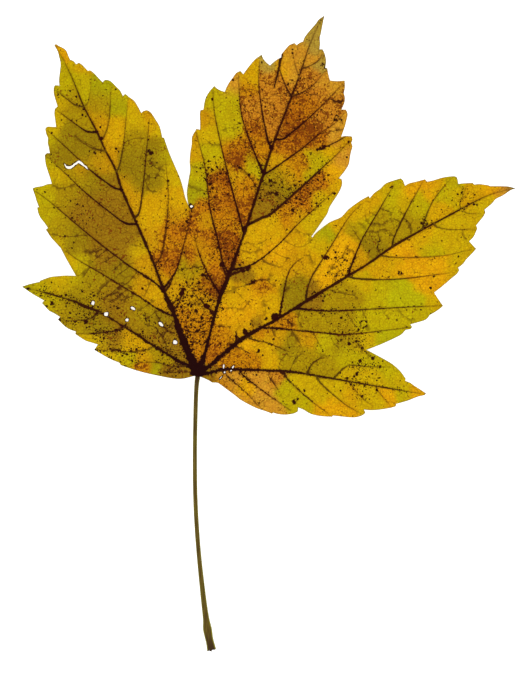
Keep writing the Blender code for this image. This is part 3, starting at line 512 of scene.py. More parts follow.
# Twigs of the vein net that stand out, in photograph pixels: each one's course
TWIGS = (
    ((104, 150), (97, 149), (90, 145), (82, 141), (76, 137)),
    ((90, 235), (82, 235.5), (70, 236.5), (60, 236), (53, 233.5)),
    ((75, 184), (68, 187), (60, 188), (54, 186.5)),
    ((195, 267), (198, 267.5), (204, 266)),
    ((259, 190), (253, 182), (250, 177), (246, 172), (241, 168)),
    ((331, 99.5), (336, 101.5), (341, 101), (344.5, 99.5)),
    ((320, 134), (328, 132), (336, 130.5), (345, 129)),
    ((223, 293), (234, 289), (243, 286), (249, 283.5), (258, 280.3), (267, 280.3), (271, 284), (276, 287)),
    ((267, 280.3), (268.5, 277.5), (270, 275)),
    ((218, 309.5), (224, 308.5), (230, 307.5), (237, 308), (241, 309.5), (246, 305.5), (250, 301.5)),
    ((233, 289.5), (238, 293), (242, 298)),
    ((216, 326), (226, 327), (231, 326)),
    ((329, 290), (340, 293), (352, 295), (358, 298)),
    ((462, 230), (462, 235), (466, 239)),
    ((290, 371), (292, 366), (294, 360), (300, 355)),
    ((279, 369), (280, 362), (285, 356), (287, 353)),
    ((356, 342), (360, 347), (365, 351), (371, 357)),
    ((268, 371), (269, 377), (273, 383), (279, 390)),
    ((308, 374), (309, 370), (313, 364), (318, 359), (324, 356), (330, 356)),
    ((199, 333), (207, 331), (211, 333)),
    ((199, 299), (204, 304), (209, 310), (214, 315)),
    ((283, 239), (290, 244), (300, 247), (309, 243), (313, 238)),
    ((296, 229), (302, 233), (309, 235)),
    ((262.5, 259), (268, 262.5), (274, 265), (279, 267.5)),
    ((283.5, 292), (287, 289), (292, 288)),
    ((265, 316), (265.5, 309), (264, 302)),
    ((285, 319), (289, 321), (292, 325)),
    ((272, 327), (272.5, 332), (275, 336)),
    ((262, 260), (270, 265), (280, 267)),
    ((273, 252), (281, 256), (290, 259)),
    ((304, 256), (309, 255), (313, 262)),
    ((240, 250), (252, 252), (262, 249)),
    ((247, 243), (258, 244), (266, 240)),
    ((190, 185), (197, 190), (205, 191)),
    ((190, 165), (197, 168), (204, 168)),
    ((205, 139), (212, 144), (221, 145)),
    ((222, 130), (229, 128), (238, 129)),
    ((313, 331), (316, 338), (321, 348)),
    ((329, 331), (332, 340), (338, 348)),
    ((292, 330), (296, 338), (301, 345)),
    ((300, 311), (298, 320), (303, 327)),
    ((346, 311), (350, 318), (354, 324)),
    ((362, 311), (367, 320), (368, 330)),
    ((398, 308), (403, 315), (411, 320)),
    ((382, 309), (385, 315), (389, 318)),
    ((361, 241.5), (357, 236), (354, 231)),
    ((366.5, 231), (363, 226), (360, 223)),
    ((375.5, 216), (373, 214), (369, 212)),
    ((382, 209.5), (386, 210.5), (390, 212), (391, 216)),
    ((372, 223.5), (378, 224.5), (383, 224), (387, 220.5)),
    ((367.5, 231.5), (372, 232.5), (377, 231.5), (384, 229), (388, 233), (394, 237)),
    ((378, 232), (379, 237), (381, 241)),
    ((381, 255), (377.5, 250), (377.5, 245), (379.5, 240)),
    ((406, 213.5), (402, 213), (398, 211)),
    ((401, 223), (397, 221), (394, 218)),
    ((411, 234.5), (410.5, 230), (408.5, 226)),
    ((356, 256), (353, 252), (349, 250)),
    ((371, 226), (367, 222), (366, 217)),
    ((402, 218), (408, 221), (411, 229)),
    ((131, 245), (139, 246), (146, 249)),
    ((101, 250), (93, 252), (85, 252)),
    ((129, 282), (121, 287), (116, 293), (108, 296)),
    ((98, 270), (90, 268), (84, 277)),
    ((176, 318), (168, 328), (163, 338)),
    ((145, 173), (152, 178), (160, 176), (166, 180)),
    ((145, 180), (150, 190), (157, 192)),
    ((150, 160), (156, 168), (165, 170)),
    ((124, 143), (133, 139), (146, 138)),
    ((78.5, 276), (87.5, 270), (90.5, 267)),
    ((97, 294.5), (104, 286.5), (109, 282), (112, 279)),
    ((102, 298.5), (112, 292.5), (119.5, 285.5), (122.5, 282.5)),
    ((110, 302), (117.5, 297.5), (125.5, 290.5), (129.5, 287.5)),
    ((121.5, 300.5), (129.5, 297.5), (134.5, 293.5)),
    ((137, 312), (145, 307), (150, 303), (153, 300)),
    ((145, 320), (153, 314), (159, 308)),
    ((90, 253.5), (98, 248.5), (104, 245.5)),
    ((95, 259.5), (102, 253.5), (108, 249.5)),
    ((102, 263), (112, 257.5), (116, 254)),
    ((112, 271), (119.5, 265), (123.5, 261.5)),
    ((117.5, 275), (125.5, 270), (129.5, 266)),
    ((129.5, 281), (135, 275), (137, 272)),
    ((145, 294.5), (149, 286.5), (151, 281)),
    ((156.5, 314), (162.5, 324), (168.5, 331.5), (174, 332.5)),
    ((160.5, 333.5), (164.5, 339.5), (166.5, 347), (168.5, 355)),
    ((145, 324), (155, 327.5), (160.5, 335.5)),
    ((174.5, 273), (182, 269), (190, 268), (195, 267)),
    ((331, 268), (336, 262), (341, 258), (346, 259)),
    ((326, 276), (331, 270), (336, 267)),
    ((334, 277), (338, 272), (343, 270)),
    ((343, 254), (347, 248), (350, 244)),
    ((349, 270), (352, 262), (356, 257)),
    ((165, 371), (173, 372.5), (182, 371), (192, 373)),
    ((89, 333), (98, 333), (105, 330)),
    ((186, 283), (190, 288), (196, 290), (203, 289)),
    ((188, 300), (194, 305), (200, 303)),
    ((184, 315), (191, 318), (198, 322), (206, 320)),
    ((187, 330), (194, 332), (201, 328)),
    ((190, 345), (196, 342), (202, 345)),
    ((263, 183), (269, 185), (276, 183)),
    ((266, 196), (273, 193), (279, 197)),
    ((230, 345), (238, 347), (250, 354)),
    ((248, 352), (240, 348), (233, 340)),
)
TWIG_HALF_WIDTH = 0.12

# Holes right through the blade, in photograph pixels: centre, length, breadth, and its slant in
# degrees anticlockwise
HOLES = (
    (93, 303, 4.0, 3.0, 80),
    (106, 314, 4.4, 4.0, 0),
    (133, 308.3, 4.8, 2.6, -32),
    (127, 320, 3.4, 3.0, 0),
    (161, 324.3, 5.2, 3.0, -45),
    (175, 342.3, 4.4, 4.2, 0),
    (191.3, 206.3, 3.2, 2.4, 20),
    (223.7, 366.3, 4.0, 1.5, 85),
    (233, 367, 2.8, 1.5, 60),
    (224.6, 372.3, 1.8, 1.3, 70),
    (231, 370.7, 1.8, 1.1, 20),
    (220.6, 378.0, 4.2, 0.55, 50),
)
HOLE_CORNERS = 14
HOLE_UNEVENNESS = 0.35
HOLE_FINENESS = 2.5

# The tear in the left lobe, in photograph pixels: its middle line and its breadth along it
TEAR = (
    (64.4, 163.4, 1.0), (66.3, 166.8, 1.9), (69.0, 167.5, 2.7), (72.5, 166.5, 2.2), (75.5, 163.9, 1.8),
    (79.3, 162.0, 2.3), (82.0, 164.0, 1.7), (85.5, 166.9, 1.4), (88.6, 169.8, 0.7),
)
TEAR_RAGGED = 0.3
TEAR_FINENESS = (2, 2.3)

# The autumn colours as the eye names them: an sRGB hex value, and how freckled with brown
LEMON = ("#CEAC00", 0.06)
YELLOW = ("#D6A600", 0.10)
GOLD = ("#CE9A02", 0.24)
AMBER = ("#E6AA02", 0.12)
LIME = ("#C0AC00", 0.07)
SPRING = ("#BCB402", 0.04)
GREEN = ("#AEA402", 0.06)
MOSS = ("#AE9202", 0.20)
OLIVE = ("#9A8204", 0.30)
BARK = ("#9A760A", 0.40)
TAN = ("#D69A22", 0.22)
DRAB = ("#B89A32", 0.25)
ASH = ("#787040", 0.20)
COPPER = ("#CC8A02", 0.60)
CLAY = ("#CE8A1A", 0.70)
RUST = ("#C47C06", 0.85)
UMBER = ("#B06A04", 1.00)
PEAT = ("#7C4206", 1.00)

# Patches of colour in photograph pixels: centre, reach and colour. A patch fills the panel of
# blade between the veins that it lies in, and shows only faintly across them.
PATCHES = (
    # left basal lobe
    (24, 287, 9, GREEN), (40, 286, 12, LIME), (60, 280, 12, LEMON), (78, 280, 10, LIME),
    (95, 292, 12, MOSS), (116, 300, 13, BARK), (113, 311, 9, BARK), (70, 297, 10, OLIVE),
    (50, 302, 9, LIME), (64, 312, 9, MOSS), (80, 312, 10, OLIVE), (74, 325, 9, MOSS),
    (96, 327, 11, OLIVE), (92, 341, 9, LEMON), (106, 338, 8, BARK), (112, 352, 10, LEMON),
    (127, 358, 8, LIME), (140, 344, 10, YELLOW), (144, 355, 6, GOLD), (134, 330, 12, BARK),
    (140, 320, 10, MOSS), (160, 350, 9, MOSS), (157, 367, 5, GREEN), (145, 367, 5, COPPER),
    (172, 372, 8, BARK), (180, 362, 9, BARK), (165, 335, 9, BARK), (140, 300, 12, MOSS),
    (158, 318, 8, OLIVE),
    # left lobe, its left half
    (62, 50, 8, AMBER), (68, 72, 10, LIME), (62, 84, 8, LIME), (72, 98, 9, MOSS), (60, 105, 6, LEMON),
    (70, 115, 9, MOSS), (58, 116, 5, LEMON), (86, 118, 9, MOSS), (50, 129, 6, LEMON),
    (75, 132, 11, OLIVE), (88, 146, 13, OLIVE), (52, 142, 7, LIME), (104, 160, 8, GOLD),
    (52, 162, 7, LIME), (62, 152, 9, OLIVE), (60, 175, 8, LEMON), (80, 178, 9, MOSS),
    (96, 180, 11, OLIVE), (110, 188, 10, BARK), (82, 170, 6, GOLD), (42, 194, 10, LIME),
    (66, 196, 11, MOSS), (86, 212, 14, BARK), (112, 207, 13, BARK), (130, 226, 6, BARK),
    (124, 240, 12, BARK), (148, 262, 7, GOLD), (140, 250, 7, LEMON), (44, 215, 10, LIME),
    (60, 228, 10, MOSS), (58, 243, 6, LEMON), (78, 238, 10, OLIVE), (82, 222, 9, BARK),
    (104, 256, 14, BARK), (126, 274, 10, OLIVE), (142, 290, 9, GOLD), (152, 298, 8, YELLOW),
    (70, 262, 7, LEMON), (90, 282, 9, OLIVE), (84, 262, 8, LIME), (110, 278, 10, OLIVE),
    (160, 304, 6, GOLD),
    # left lobe, its right half
    (84, 68, 6, AMBER), (76, 64, 5, LEMON), (84, 84, 9, LIME), (100, 84, 9, GREEN), (96, 104, 9, MOSS),
    (96, 120, 8, GOLD), (104, 106, 8, MOSS), (116, 92, 8, LIME), (116, 106, 8, GREEN),
    (112, 128, 9, YELLOW), (106, 146, 6, GOLD), (134, 100, 7, YELLOW), (132, 118, 9, LEMON),
    (136, 140, 8, MOSS), (134, 158, 9, OLIVE), (136, 176, 8, OLIVE), (124, 190, 7, GOLD),
    (132, 204, 8, GOLD), (147, 112, 6, GOLD), (152, 124, 7, YELLOW), (156, 150, 8, OLIVE),
    (156, 172, 9, OLIVE), (152, 186, 7, OLIVE), (154, 203, 8, YELLOW), (150, 218, 7, YELLOW),
    (154, 238, 7, GOLD), (160, 130, 6, LEMON), (168, 152, 6, LIME), (174, 174, 7, LEMON),
    (176, 196, 7, YELLOW), (176, 214, 6, GOLD), (180, 228, 8, RUST), (172, 240, 7, COPPER),
    (168, 262, 7, RUST), (162, 277, 5, GOLD), (197, 228, 8, RUST), (192, 246, 7, COPPER),
    (204, 246, 6, GOLD), (190, 258, 5, RUST),
    # between the left and the middle lobe
    (192, 272, 9, MOSS), (186, 288, 9, GOLD), (204, 284, 8, COPPER), (196, 302, 9, GOLD),
    (192, 320, 9, COPPER), (204, 332, 7, COPPER), (192, 340, 8, COPPER), (206, 262, 5, GOLD),
    (212, 286, 6, PEAT),
    # middle lobe, its left half
    (196, 136, 6, GOLD), (194, 152, 6, YELLOW), (195, 172, 7, LIME), (196, 190, 8, GREEN),
    (201, 205, 5, RUST), (205, 222, 6, GOLD), (210, 240, 7, RUST), (216, 256, 7, COPPER),
    (214, 272, 5, RUST), (210, 98, 8, LIME), (203, 118, 6, GOLD), (207, 132, 6, LEMON),
    (206, 152, 7, LIME), (213, 166, 6, LEMON), (218, 178, 7, UMBER), (213, 190, 6, COPPER),
    (222, 200, 8, RUST), (226, 218, 8, COPPER), (226, 247, 7, UMBER), (224, 100, 8, LIME),
    (226, 118, 8, LIME), (232, 134, 6, LIME), (232, 84, 7, TAN), (234, 144, 6, COPPER),
    (238, 158, 7, UMBER), (232, 176, 7, GOLD), (252, 163, 6, LIME), (240, 190, 8, COPPER),
    (236, 208, 8, UMBER), (246, 206, 7, RUST), (250, 68, 8, YELLOW), (250, 82, 6, YELLOW),
    (247, 92, 5, COPPER), (248, 110, 8, CLAY), (252, 130, 8, RUST), (258, 146, 7, COPPER),
    (256, 158, 5, UMBER), (266, 64, 6, DRAB), (268, 82, 8, CLAY), (268, 104, 9, CLAY),
    (268, 126, 8, CLAY), (270, 140, 5, COPPER), (284, 64, 7, AMBER), (280, 84, 7, CLAY),
    (284, 104, 8, CLAY), (292, 56, 7, TAN), (296, 70, 6, TAN), (304, 52, 7, TAN), (312, 38, 7, DRAB),
    (319, 22, 6, DRAB),
    # middle lobe, its right half
    (316, 46, 5, DRAB), (314, 60, 6, TAN), (320, 64, 5, DRAB), (310, 78, 7, CLAY), (322, 78, 6, TAN),
    (303, 90, 6, CLAY), (336, 88, 7, TAN), (322, 94, 7, CLAY), (308, 106, 8, RUST),
    (294, 122, 7, UMBER), (338, 106, 7, CLAY), (324, 118, 8, CLAY), (304, 132, 8, UMBER),
    (287, 148, 7, RUST), (338, 124, 5, TAN), (342, 118, 5, TAN), (316, 142, 6, RUST),
    (334, 138, 5, TAN), (344, 144, 5, GOLD), (330, 154, 6, YELLOW), (316, 160, 7, LIME),
    (308, 172, 5, LIME), (300, 164, 7, COPPER), (288, 176, 7, GOLD), (278, 164, 6, GOLD),
    (282, 186, 8, OLIVE), (268, 196, 8, BARK), (262, 208, 6, BARK), (270, 176, 6, MOSS),
    (344, 162, 7, TAN), (334, 172, 6, AMBER), (320, 182, 6, RUST), (336, 188, 7, YELLOW),
    (322, 200, 7, LEMON), (300, 202, 8, RUST), (286, 214, 7, COPPER), (270, 226, 8, YELLOW),
    (252, 240, 7, YELLOW), (300, 218, 6, GOLD), (328, 204, 6, LEMON), (314, 222, 7, LEMON),
    (296, 238, 8, YELLOW), (276, 250, 9, AMBER), (288, 262, 7, GOLD), (256, 264, 7, GOLD),
    (246, 276, 5, BARK), (258, 272, 6, YELLOW),
    # between the middle and the right lobe
    (264, 290, 7, COPPER), (240, 296, 7, YELLOW), (250, 306, 8, AMBER), (270, 304, 7, YELLOW),
    (232, 314, 8, AMBER), (256, 318, 4, BARK), (238, 326, 7, GOLD), (222, 336, 6, COPPER),
    (214, 348, 5, RUST), (276, 278, 6, YELLOW),
    # right lobe, its upper half
    (298, 284, 7, OLIVE), (292, 300, 7, OLIVE), (302, 270, 6, GOLD), (312, 258, 8, YELLOW),
    (318, 244, 6, LEMON), (327, 231, 6, GREEN), (340, 221, 6, YELLOW), (311, 289, 5, BARK),
    (330, 262, 7, AMBER), (326, 280, 6, AMBER), (340, 244, 7, AMBER), (344, 260, 6, AMBER),
    (352, 232, 5, MOSS), (362, 210, 7, YELLOW), (372, 199, 6, YELLOW), (388, 186, 6, LEMON),
    (366, 222, 7, LIME), (357, 258, 5, GOLD), (374, 226, 9, MOSS), (380, 212, 7, MOSS),
    (374, 244, 8, OLIVE), (396, 190, 7, LIME), (392, 206, 6, LIME), (386, 232, 6, MOSS),
    (404, 204, 5, LEMON), (412, 190, 6, AMBER), (404, 236, 7, MOSS), (412, 222, 7, MOSS),
    (420, 210, 6, LIME), (420, 198, 5, LIME), (430, 186, 6, AMBER), (438, 186, 5, YELLOW),
    (450, 180, 6, LIME), (446, 196, 6, LIME), (440, 210, 6, YELLOW), (458, 198, 6, LEMON),
    (474, 192, 9, YELLOW), (492, 189, 7, AMBER), (505, 190, 5, TAN), (514, 188, 4, ASH),
    # right lobe, its lower half
    (484, 202, 6, LEMON), (468, 218, 7, LEMON), (480, 216, 5, LEMON), (452, 224, 6, LEMON),
    (424, 240, 7, YELLOW), (448, 238, 7, LEMON), (466, 246, 5, LEMON), (404, 250, 7, AMBER),
    (432, 248, 7, LIME), (390, 264, 7, YELLOW), (414, 266, 8, AMBER), (440, 262, 8, AMBER),
    (456, 262, 8, LEMON), (366, 284, 6, LEMON), (382, 290, 7, LIME), (400, 294, 8, SPRING),
    (420, 286, 6, AMBER), (432, 290, 5, AMBER), (416, 302, 6, SPRING), (432, 302, 5, LEMON),
    (340, 300, 7, MOSS), (356, 300, 7, MOSS), (376, 302, 7, LIME), (312, 304, 6, BARK),
    (346, 320, 7, MOSS), (370, 318, 7, LIME), (394, 318, 7, LIME), (416, 316, 6, LIME),
    (320, 320, 7, MOSS), (302, 318, 6, MOSS), (284, 320, 6, COPPER), (384, 338, 6, SPRING),
    (366, 340, 6, LEMON), (354, 342, 6, MOSS), (340, 346, 6, OLIVE), (326, 344, 7, LIME),
    (306, 340, 7, GOLD), (290, 346, 7, OLIVE), (276, 338, 6, GOLD), (264, 346, 6, YELLOW),
    (250, 346, 5, AMBER), (252, 358, 5, COPPER), (234, 356, 6, COPPER), (270, 358, 5, YELLOW),
    (262, 334, 5, COPPER),
    # right basal lobe
    (290, 362, 7, MOSS), (306, 358, 7, MOSS), (326, 364, 7, MOSS), (348, 356, 8, LIME),
    (372, 362, 7, LIME), (390, 370, 7, LIME), (350, 374, 6, LEMON), (376, 378, 6, LEMON),
    (400, 382, 6, LEMON), (416, 391, 6, AMBER), (402, 390, 8, LIME), (386, 398, 5, AMBER),
    (374, 396, 6, LEMON), (366, 402, 6, LEMON), (352, 402, 6, YELLOW), (346, 412, 5, AMBER),
    (336, 396, 6, LEMON), (332, 409, 6, AMBER), (318, 408, 5, AMBER), (322, 390, 6, LEMON),
    (306, 404, 6, LIME), (300, 390, 6, LEMON), (284, 386, 5, LIME), (292, 404, 5, LIME),
    (276, 406, 5, TAN), (268, 396, 6, TAN), (258, 402, 6, TAN), (262, 384, 7, TAN),
    (246, 388, 6, AMBER), (240, 398, 5, TAN), (228, 378, 6, TAN), (222, 384, 5, COPPER),
    (276, 376, 5, CLAY), (212, 376, 5, BARK),
)
PATCH_ACROSS_VEINS = 0.035
FROM_FAR = 1e-12

# Where dark dots crowd, in photograph pixels: centre, reach and how thickly
DOTTED = (
    (197, 300, 26, 0.95), (193, 328, 18, 0.8), (186, 345, 14, 0.8), (200, 280, 14, 0.7),
    (227, 250, 13, 0.9), (212, 172, 14, 0.7), (212, 200, 13, 0.55), (228, 190, 12, 0.5),
    (226, 232, 16, 0.5), (232, 175, 16, 0.3), (262, 170, 10, 0.4), (286, 186, 16, 0.95),
    (268, 190, 14, 0.8), (302, 196, 20, 0.85), (280, 208, 12, 0.6), (316, 160, 13, 0.45),
    (318, 182, 12, 0.45), (250, 112, 22, 0.2), (300, 112, 30, 0.22), (310, 140, 20, 0.22),
    (244, 148, 16, 0.25), (341, 263, 16, 0.4), (330, 280, 14, 0.25), (372, 245, 12, 0.2),
    (426, 224, 8, 0.4), (464, 198, 16, 0.22), (348, 322, 18, 0.35), (356, 340, 14, 0.65),
    (320, 308, 14, 0.3), (366, 364, 16, 0.6), (360, 384, 18, 0.4), (242, 372, 16, 0.3),
    (306, 352, 18, 0.12), (400, 392, 12, 0.15), (48, 292, 10, 0.7), (54, 303, 8, 0.5),
    (72, 298, 12, 0.5), (88, 308, 14, 0.7), (72, 318, 12, 0.5), (90, 320, 10, 0.6),
    (106, 336, 12, 0.75), (118, 348, 20, 0.7), (98, 352, 10, 0.4), (134, 352, 12, 0.5),
    (150, 330, 18, 0.3), (170, 352, 14, 0.6), (116, 304, 14, 0.3), (96, 294, 8, 0.6),
    (164, 326, 10, 0.4), (172, 372, 12, 0.35), (76, 208, 12, 0.35), (88, 222, 10, 0.25),
    (150, 158, 12, 0.25), (168, 204, 16, 0.12), (182, 222, 16, 0.35), (62, 90, 12, 0.15),
    (76, 112, 12, 0.12), (160, 270, 10, 0.35), (222, 345, 12, 0.4),
)

# Single dark marks, in photograph pixels: centre and radius
MARKS = (
    (151, 153, 2.6), (148.5, 151, 1.8), (116, 149, 1.5), (95, 153, 1.6), (168, 181, 1.2),
    (157, 163, 0.9), (210, 184, 2.0), (213, 188, 1.4), (216, 163, 1.3), (212, 170, 1.5),
    (207, 176, 1.2), (239.5, 123, 1.2), (241, 137, 1.0), (334, 194, 1.3), (341.5, 120, 1.4),
    (334.5, 119.5, 1.3), (323.5, 147.5, 2.4), (320.5, 148.5, 1.5), (326, 257.5, 2.6), (322, 256, 1.4),
    (275, 317, 4.0), (245, 332, 3.0), (236.5, 337, 1.8), (258.5, 351, 1.8), (356.5, 374, 2.0),
    (354, 377, 1.2), (360, 360.5, 1.9), (361, 366, 1.2), (380, 366.5, 1.5), (379, 378, 1.0),
    (372.5, 358, 1.8), (294, 402, 2.4), (297, 399, 1.4), (253, 282, 2.4), (248, 269, 2.6),
    (243, 271, 2.0), (205.5, 306, 2.6), (183, 290, 2.6), (181.5, 294, 2.2), (94, 296, 1.4),
    (52, 303, 2.2), (86, 322, 2.4), (104, 338, 1.6), (289, 189, 1.4), (276.5, 194, 1.9),
    (293, 210, 2.0), (300, 200, 1.3), (349, 142, 1.4), (391, 187, 1.3), (421, 304, 1.0),
    (458.5, 257, 1.0), (457.5, 194, 1.0), (466, 197, 0.9), (474, 194.5, 1.0), (477, 205, 1.0),
    (433, 200, 1.1), (415.5, 257, 1.0), (433.5, 276.5, 1.1), (369, 251, 1.2), (378.5, 333, 1.2),
    (355, 258, 1.4), (347, 261, 1.2), (260, 198, 1.3), (270, 181, 1.9), (282, 182, 1.2),
    (295, 185, 1.6), (28, 289, 1.8), (60, 319, 1.3), (95, 350, 1.2), (82, 291, 1.1), (71, 282, 1.0),
    (118, 308, 1.3), (144, 268, 1.0), (99, 203, 1.0), (54, 208, 1.0), (45, 192, 1.0), (65, 236, 1.2),
    (74, 243, 1.0), (203, 275, 2.0), (207, 278, 1.6), (191, 306, 1.8), (181, 307, 1.6), (349, 344, 1.8),
    (357, 341, 1.3), (397, 319.5, 1.0), (323.5, 64.5, 1.6), (325, 68, 1.2), (233, 80, 1.3),
    (262, 62, 1.0), (212, 99.5, 1.2), (249, 175, 1.4), (262, 170, 1.6), (288, 84, 1.4), (271, 142, 1.6),
    (376, 290, 0.9), (116, 89.5, 1.0), (101, 139, 2.0), (121.5, 190, 1.6), (136.5, 221.5, 1.6),
    (244.5, 228, 2.3), (263.5, 172, 3.0), (271.5, 147.5, 2.6), (228.5, 272, 2.2), (261, 166, 1.8),
    (291, 96, 1.3), (299, 75, 1.0), (163, 291, 2.2), (192, 296, 1.6), (199, 289, 1.5), (205, 295, 1.8),
    (196, 311, 1.7), (202, 318, 1.6), (188, 318, 1.4), (195, 327, 1.5), (190, 335, 1.4),
    (200, 341, 1.3), (209, 322, 1.5), (186, 327, 1.3), (211, 300, 1.6), (188, 305, 1.3),
    (182, 312, 1.3), (193, 349, 1.2), (199, 283, 1.2), (178, 300, 1.2), (182.5, 269.5, 1.7),
    (237, 270, 1.4), (223, 309, 1.3), (276, 280.5, 1.0), (341, 340, 1.2), (328, 222, 0.8),
    (198, 331, 2.0), (222.3, 264.5, 3.0), (249, 268, 1.7), (266, 319, 1.6), (281, 324.5, 0.9),
    (273.7, 339, 1.1), (250, 331, 0.9), (268.6, 308.2, 1.0), (349, 274.5, 2.0), (344.5, 260, 1.3),
    (409.5, 240, 1.0), (423, 224, 1.0), (425, 227, 0.9), (427.3, 223.5, 0.9), (424, 220, 0.8),
    (204, 269, 1.0), (205.7, 272.5, 1.1), (207.2, 276, 1.1), (208.7, 279.5, 1.0), (211, 283.5, 0.9),
    (243, 262.5, 1.1), (240, 265, 1.3),
)

# Small dark rings with a paler middle, in photograph pixels: centre and radius
RINGS = (
    (337.3, 117.8, 2.4), (363.5, 324, 3.4), (314.5, 294.5, 2.4), (323, 295.5, 1.8), (400, 273, 1.6),
    (191.3, 206.3, 2.2),
)


def from_photo(x, y):
    """A place in the photograph as millimetres from the knot."""
    return Vector((x - KNOT_PIXEL[0], KNOT_PIXEL[1] - y)) / PIXELS_PER_MM


def linear(hex_colour, shade=1.0):
    """An sRGB hex value as the linear colour that a shader works in, darkened by the shade."""
    channels = (int(hex_colour[i : i + 2], 16) / 255 for i in (1, 3, 5))
    return (*(shade * (c / 12.92 if c <= 0.04045 else ((c + 0.055) / 1.055) ** 2.4) for c in channels), 1.0)


def smoothstep(value):
    """A smooth rise from 0 to 1."""
    value = np.clip(value, 0, 1)
    return value * value * (3 - 2 * value)


def taper(root, tip, share):
    """A width or a depth that shrinks along a vein, where share is 0 at its root and 1 at its tip."""
    return tip + (root - tip) * (1 - share) ** TAPER_POWER


def smooth_course(points, step):
    """A smooth curve through the points, with about one step between its samples."""
    points = [Vector(p) for p in points]
    padded = [2 * points[0] - points[1], *points, 2 * points[-1] - points[-2]]
    course = [points[0]]
    for before, start, end, after in zip(padded, padded[1:], padded[2:], padded[3:]):
        pieces = max(1, round((end - start).length / step))
        for piece in range(1, pieces + 1):
            t = piece / pieces
            bend = (2 * before - 5 * start + 4 * end - after) * t**2
            twist = (3 * start - before - 3 * end + after) * t**3
            course.append((2 * start + (end - before) * t + bend + twist) / 2)
    return course


def margin_loop(step):
    """The closed outline of the blade, with its corners kept sharp."""
    loop = [Vector(MARGIN_START)]
    for row in MARGIN:
        loop += smooth_course([loop[-1], *row], step)[1:]
    return loop


def insert_root(line, start):
    """The point of the line nearest to the start, which becomes one of the line's own points."""
    feet = []
    for i, (a, b) in enumerate(zip(line, line[1:])):
        share = min(1, max(0, (start - a).dot(b - a) / (b - a).length_squared))
        foot = a.lerp(b, share)
        feet.append(((foot - start).length, i, foot))
    _, index, foot = min(feet, key=lambda found: found[0])
    for near in (index, index + 1):
        if (line[near] - foot).length < ROOT_GAP:
            return line[near]
    line.insert(index + 1, foot)
    return foot


def as_line(course, band=0.0, rib_half_width=0.0, rib_depth=0.0, tone=0.0, show=1.0):
    """A line of the blade as an array: each of its points, with half the breadth of its dark band,
    its rib's half width and depth, how brown it is, and how strongly it shows."""
    spread = [np.broadcast_to(v, len(course)) for v in (band, rib_half_width, rib_depth, tone, show)]
    return np.column_stack([[p[:2] for p in course], *spread])


def uneven(course, band):
    """The band with its breadth varied along the course, as a drying vein's is."""
    return band * [1 + VEIN_UNEVENNESS * noise.noise(p.to_3d() / VEIN_UNEVEN_LENGTH) for p in course]


def vein_lines():
    """The main veins and the side veins, each with its dark band and its rib."""
    mains = {name: smooth_course(course, VEIN_STEP) for name, (_, course) in MAIN_VEINS.items()}
    roots = [insert_root(mains[parent], Vector(course[0])) for parent, _, course in SIDE_VEINS]
    main_lines, side_lines = [], []
    for name, course in mains.items():
        share = np.linspace(0, 1, len(course))
        half_width = taper(MAIN_VEINS[name][0], MAIN_RIB_TIP_HALF_WIDTH, share)
        depth = taper(MAIN_RIB_DEPTH, MAIN_RIB_TIP_DEPTH, share)
        band = np.interp(share, *zip(*MAIN_BANDS[name]))
        show = np.interp(share, *zip(*MAIN_SHOW))
        main_lines.append(
            as_line(course, uneven(course, band), half_width, depth, share * MAIN_TIP_TONE, show))
    for root, (_, strength, course) in zip(roots, SIDE_VEINS):
        course = smooth_course([root, *course[1:]], VEIN_STEP)
        share = np.linspace(0, 1, len(course))
        half_width = taper(SIDE_RIB_HALF_WIDTH, SIDE_RIB_TIP_HALF_WIDTH, share)
        depth = taper(SIDE_RIB_DEPTH, SIDE_RIB_TIP_DEPTH, share)
        tone = SIDE_ROOT_TONE + (1 - SIDE_ROOT_TONE) * share
        breadth = FAINTEST_BAND + (1 - FAINTEST_BAND) * strength
        band = uneven(course, np.interp(share, *zip(*SIDE_BAND)) * breadth)
        show = strength * np.interp(share, *zip(*SIDE_SHOW))
        side_lines.append(as_line(course, band, half_width, depth, tone, show))
    for course, start, end in SCARS:
        course = smooth_course([from_photo(*p) for p in course], VEIN_STEP)
        band = np.linspace(start, end, len(course))
        side_lines.append(as_line(course, band, SCAR_RIB_HALF_WIDTH, SCAR_RIB_DEPTH, SCAR_TONE, SCAR_SHOW))
    return main_lines, side_lines


def near_lines(points, lines, reach):
    """For each point: its distance from the nearest line, its distance outside the nearest dark
    band, the deepest rib over it, and the tone and show of that band, as far as the reach."""
    starts = np.concatenate([line[:-1] for line in lines])
    ends = np.concatenate([line[1:] for line in lines])
    middles = (starts[:, :2] + ends[:, :2]) / 2
    distance, outside = np.full(len(points), float(reach)), np.full(len(points), float(reach))
    rib, tone, show = np.zeros((3, len(points)))
    cells = np.floor(points / SEARCH_CELL)
    for cell in np.unique(cells, axis=0):
        here = np.flatnonzero((cells == cell).all(axis=1))
        spread = np.hypot(*(middles - (cell + 0.5) * SEARCH_CELL).T)
        close = spread < reach + SEARCH_CELL + VEIN_STEP
        if not close.any():
            continue
        a, b = starts[close], ends[close]
        along = b[:, :2] - a[:, :2]
        offset = points[here][:, None] - a[None, :, :2]
        share = (offset * along).sum(axis=2) / np.maximum((along**2).sum(axis=1), NO_LENGTH)
        nearest = a + np.clip(share, 0, 1)[..., None] * (b - a)
        gap = np.linalg.norm(nearest[..., :2] - points[here][:, None], axis=2)
        beyond = gap - nearest[..., 2]
        first = beyond.argmin(axis=1)
        rows = np.arange(len(here))
        distance[here] = np.minimum(reach, gap.min(axis=1))
        outside[here] = np.minimum(reach, beyond[rows, first])
        tone[here], show[here] = nearest[rows, first, 5], nearest[rows, first, 6]
        half_width = np.maximum(nearest[..., 3], NO_WIDTH)
        rib[here] = (nearest[..., 4] * np.sqrt(np.clip(1 - (gap / half_width) ** 2, 0, 1))).max(axis=1)
    return distance, outside, rib, tone, show


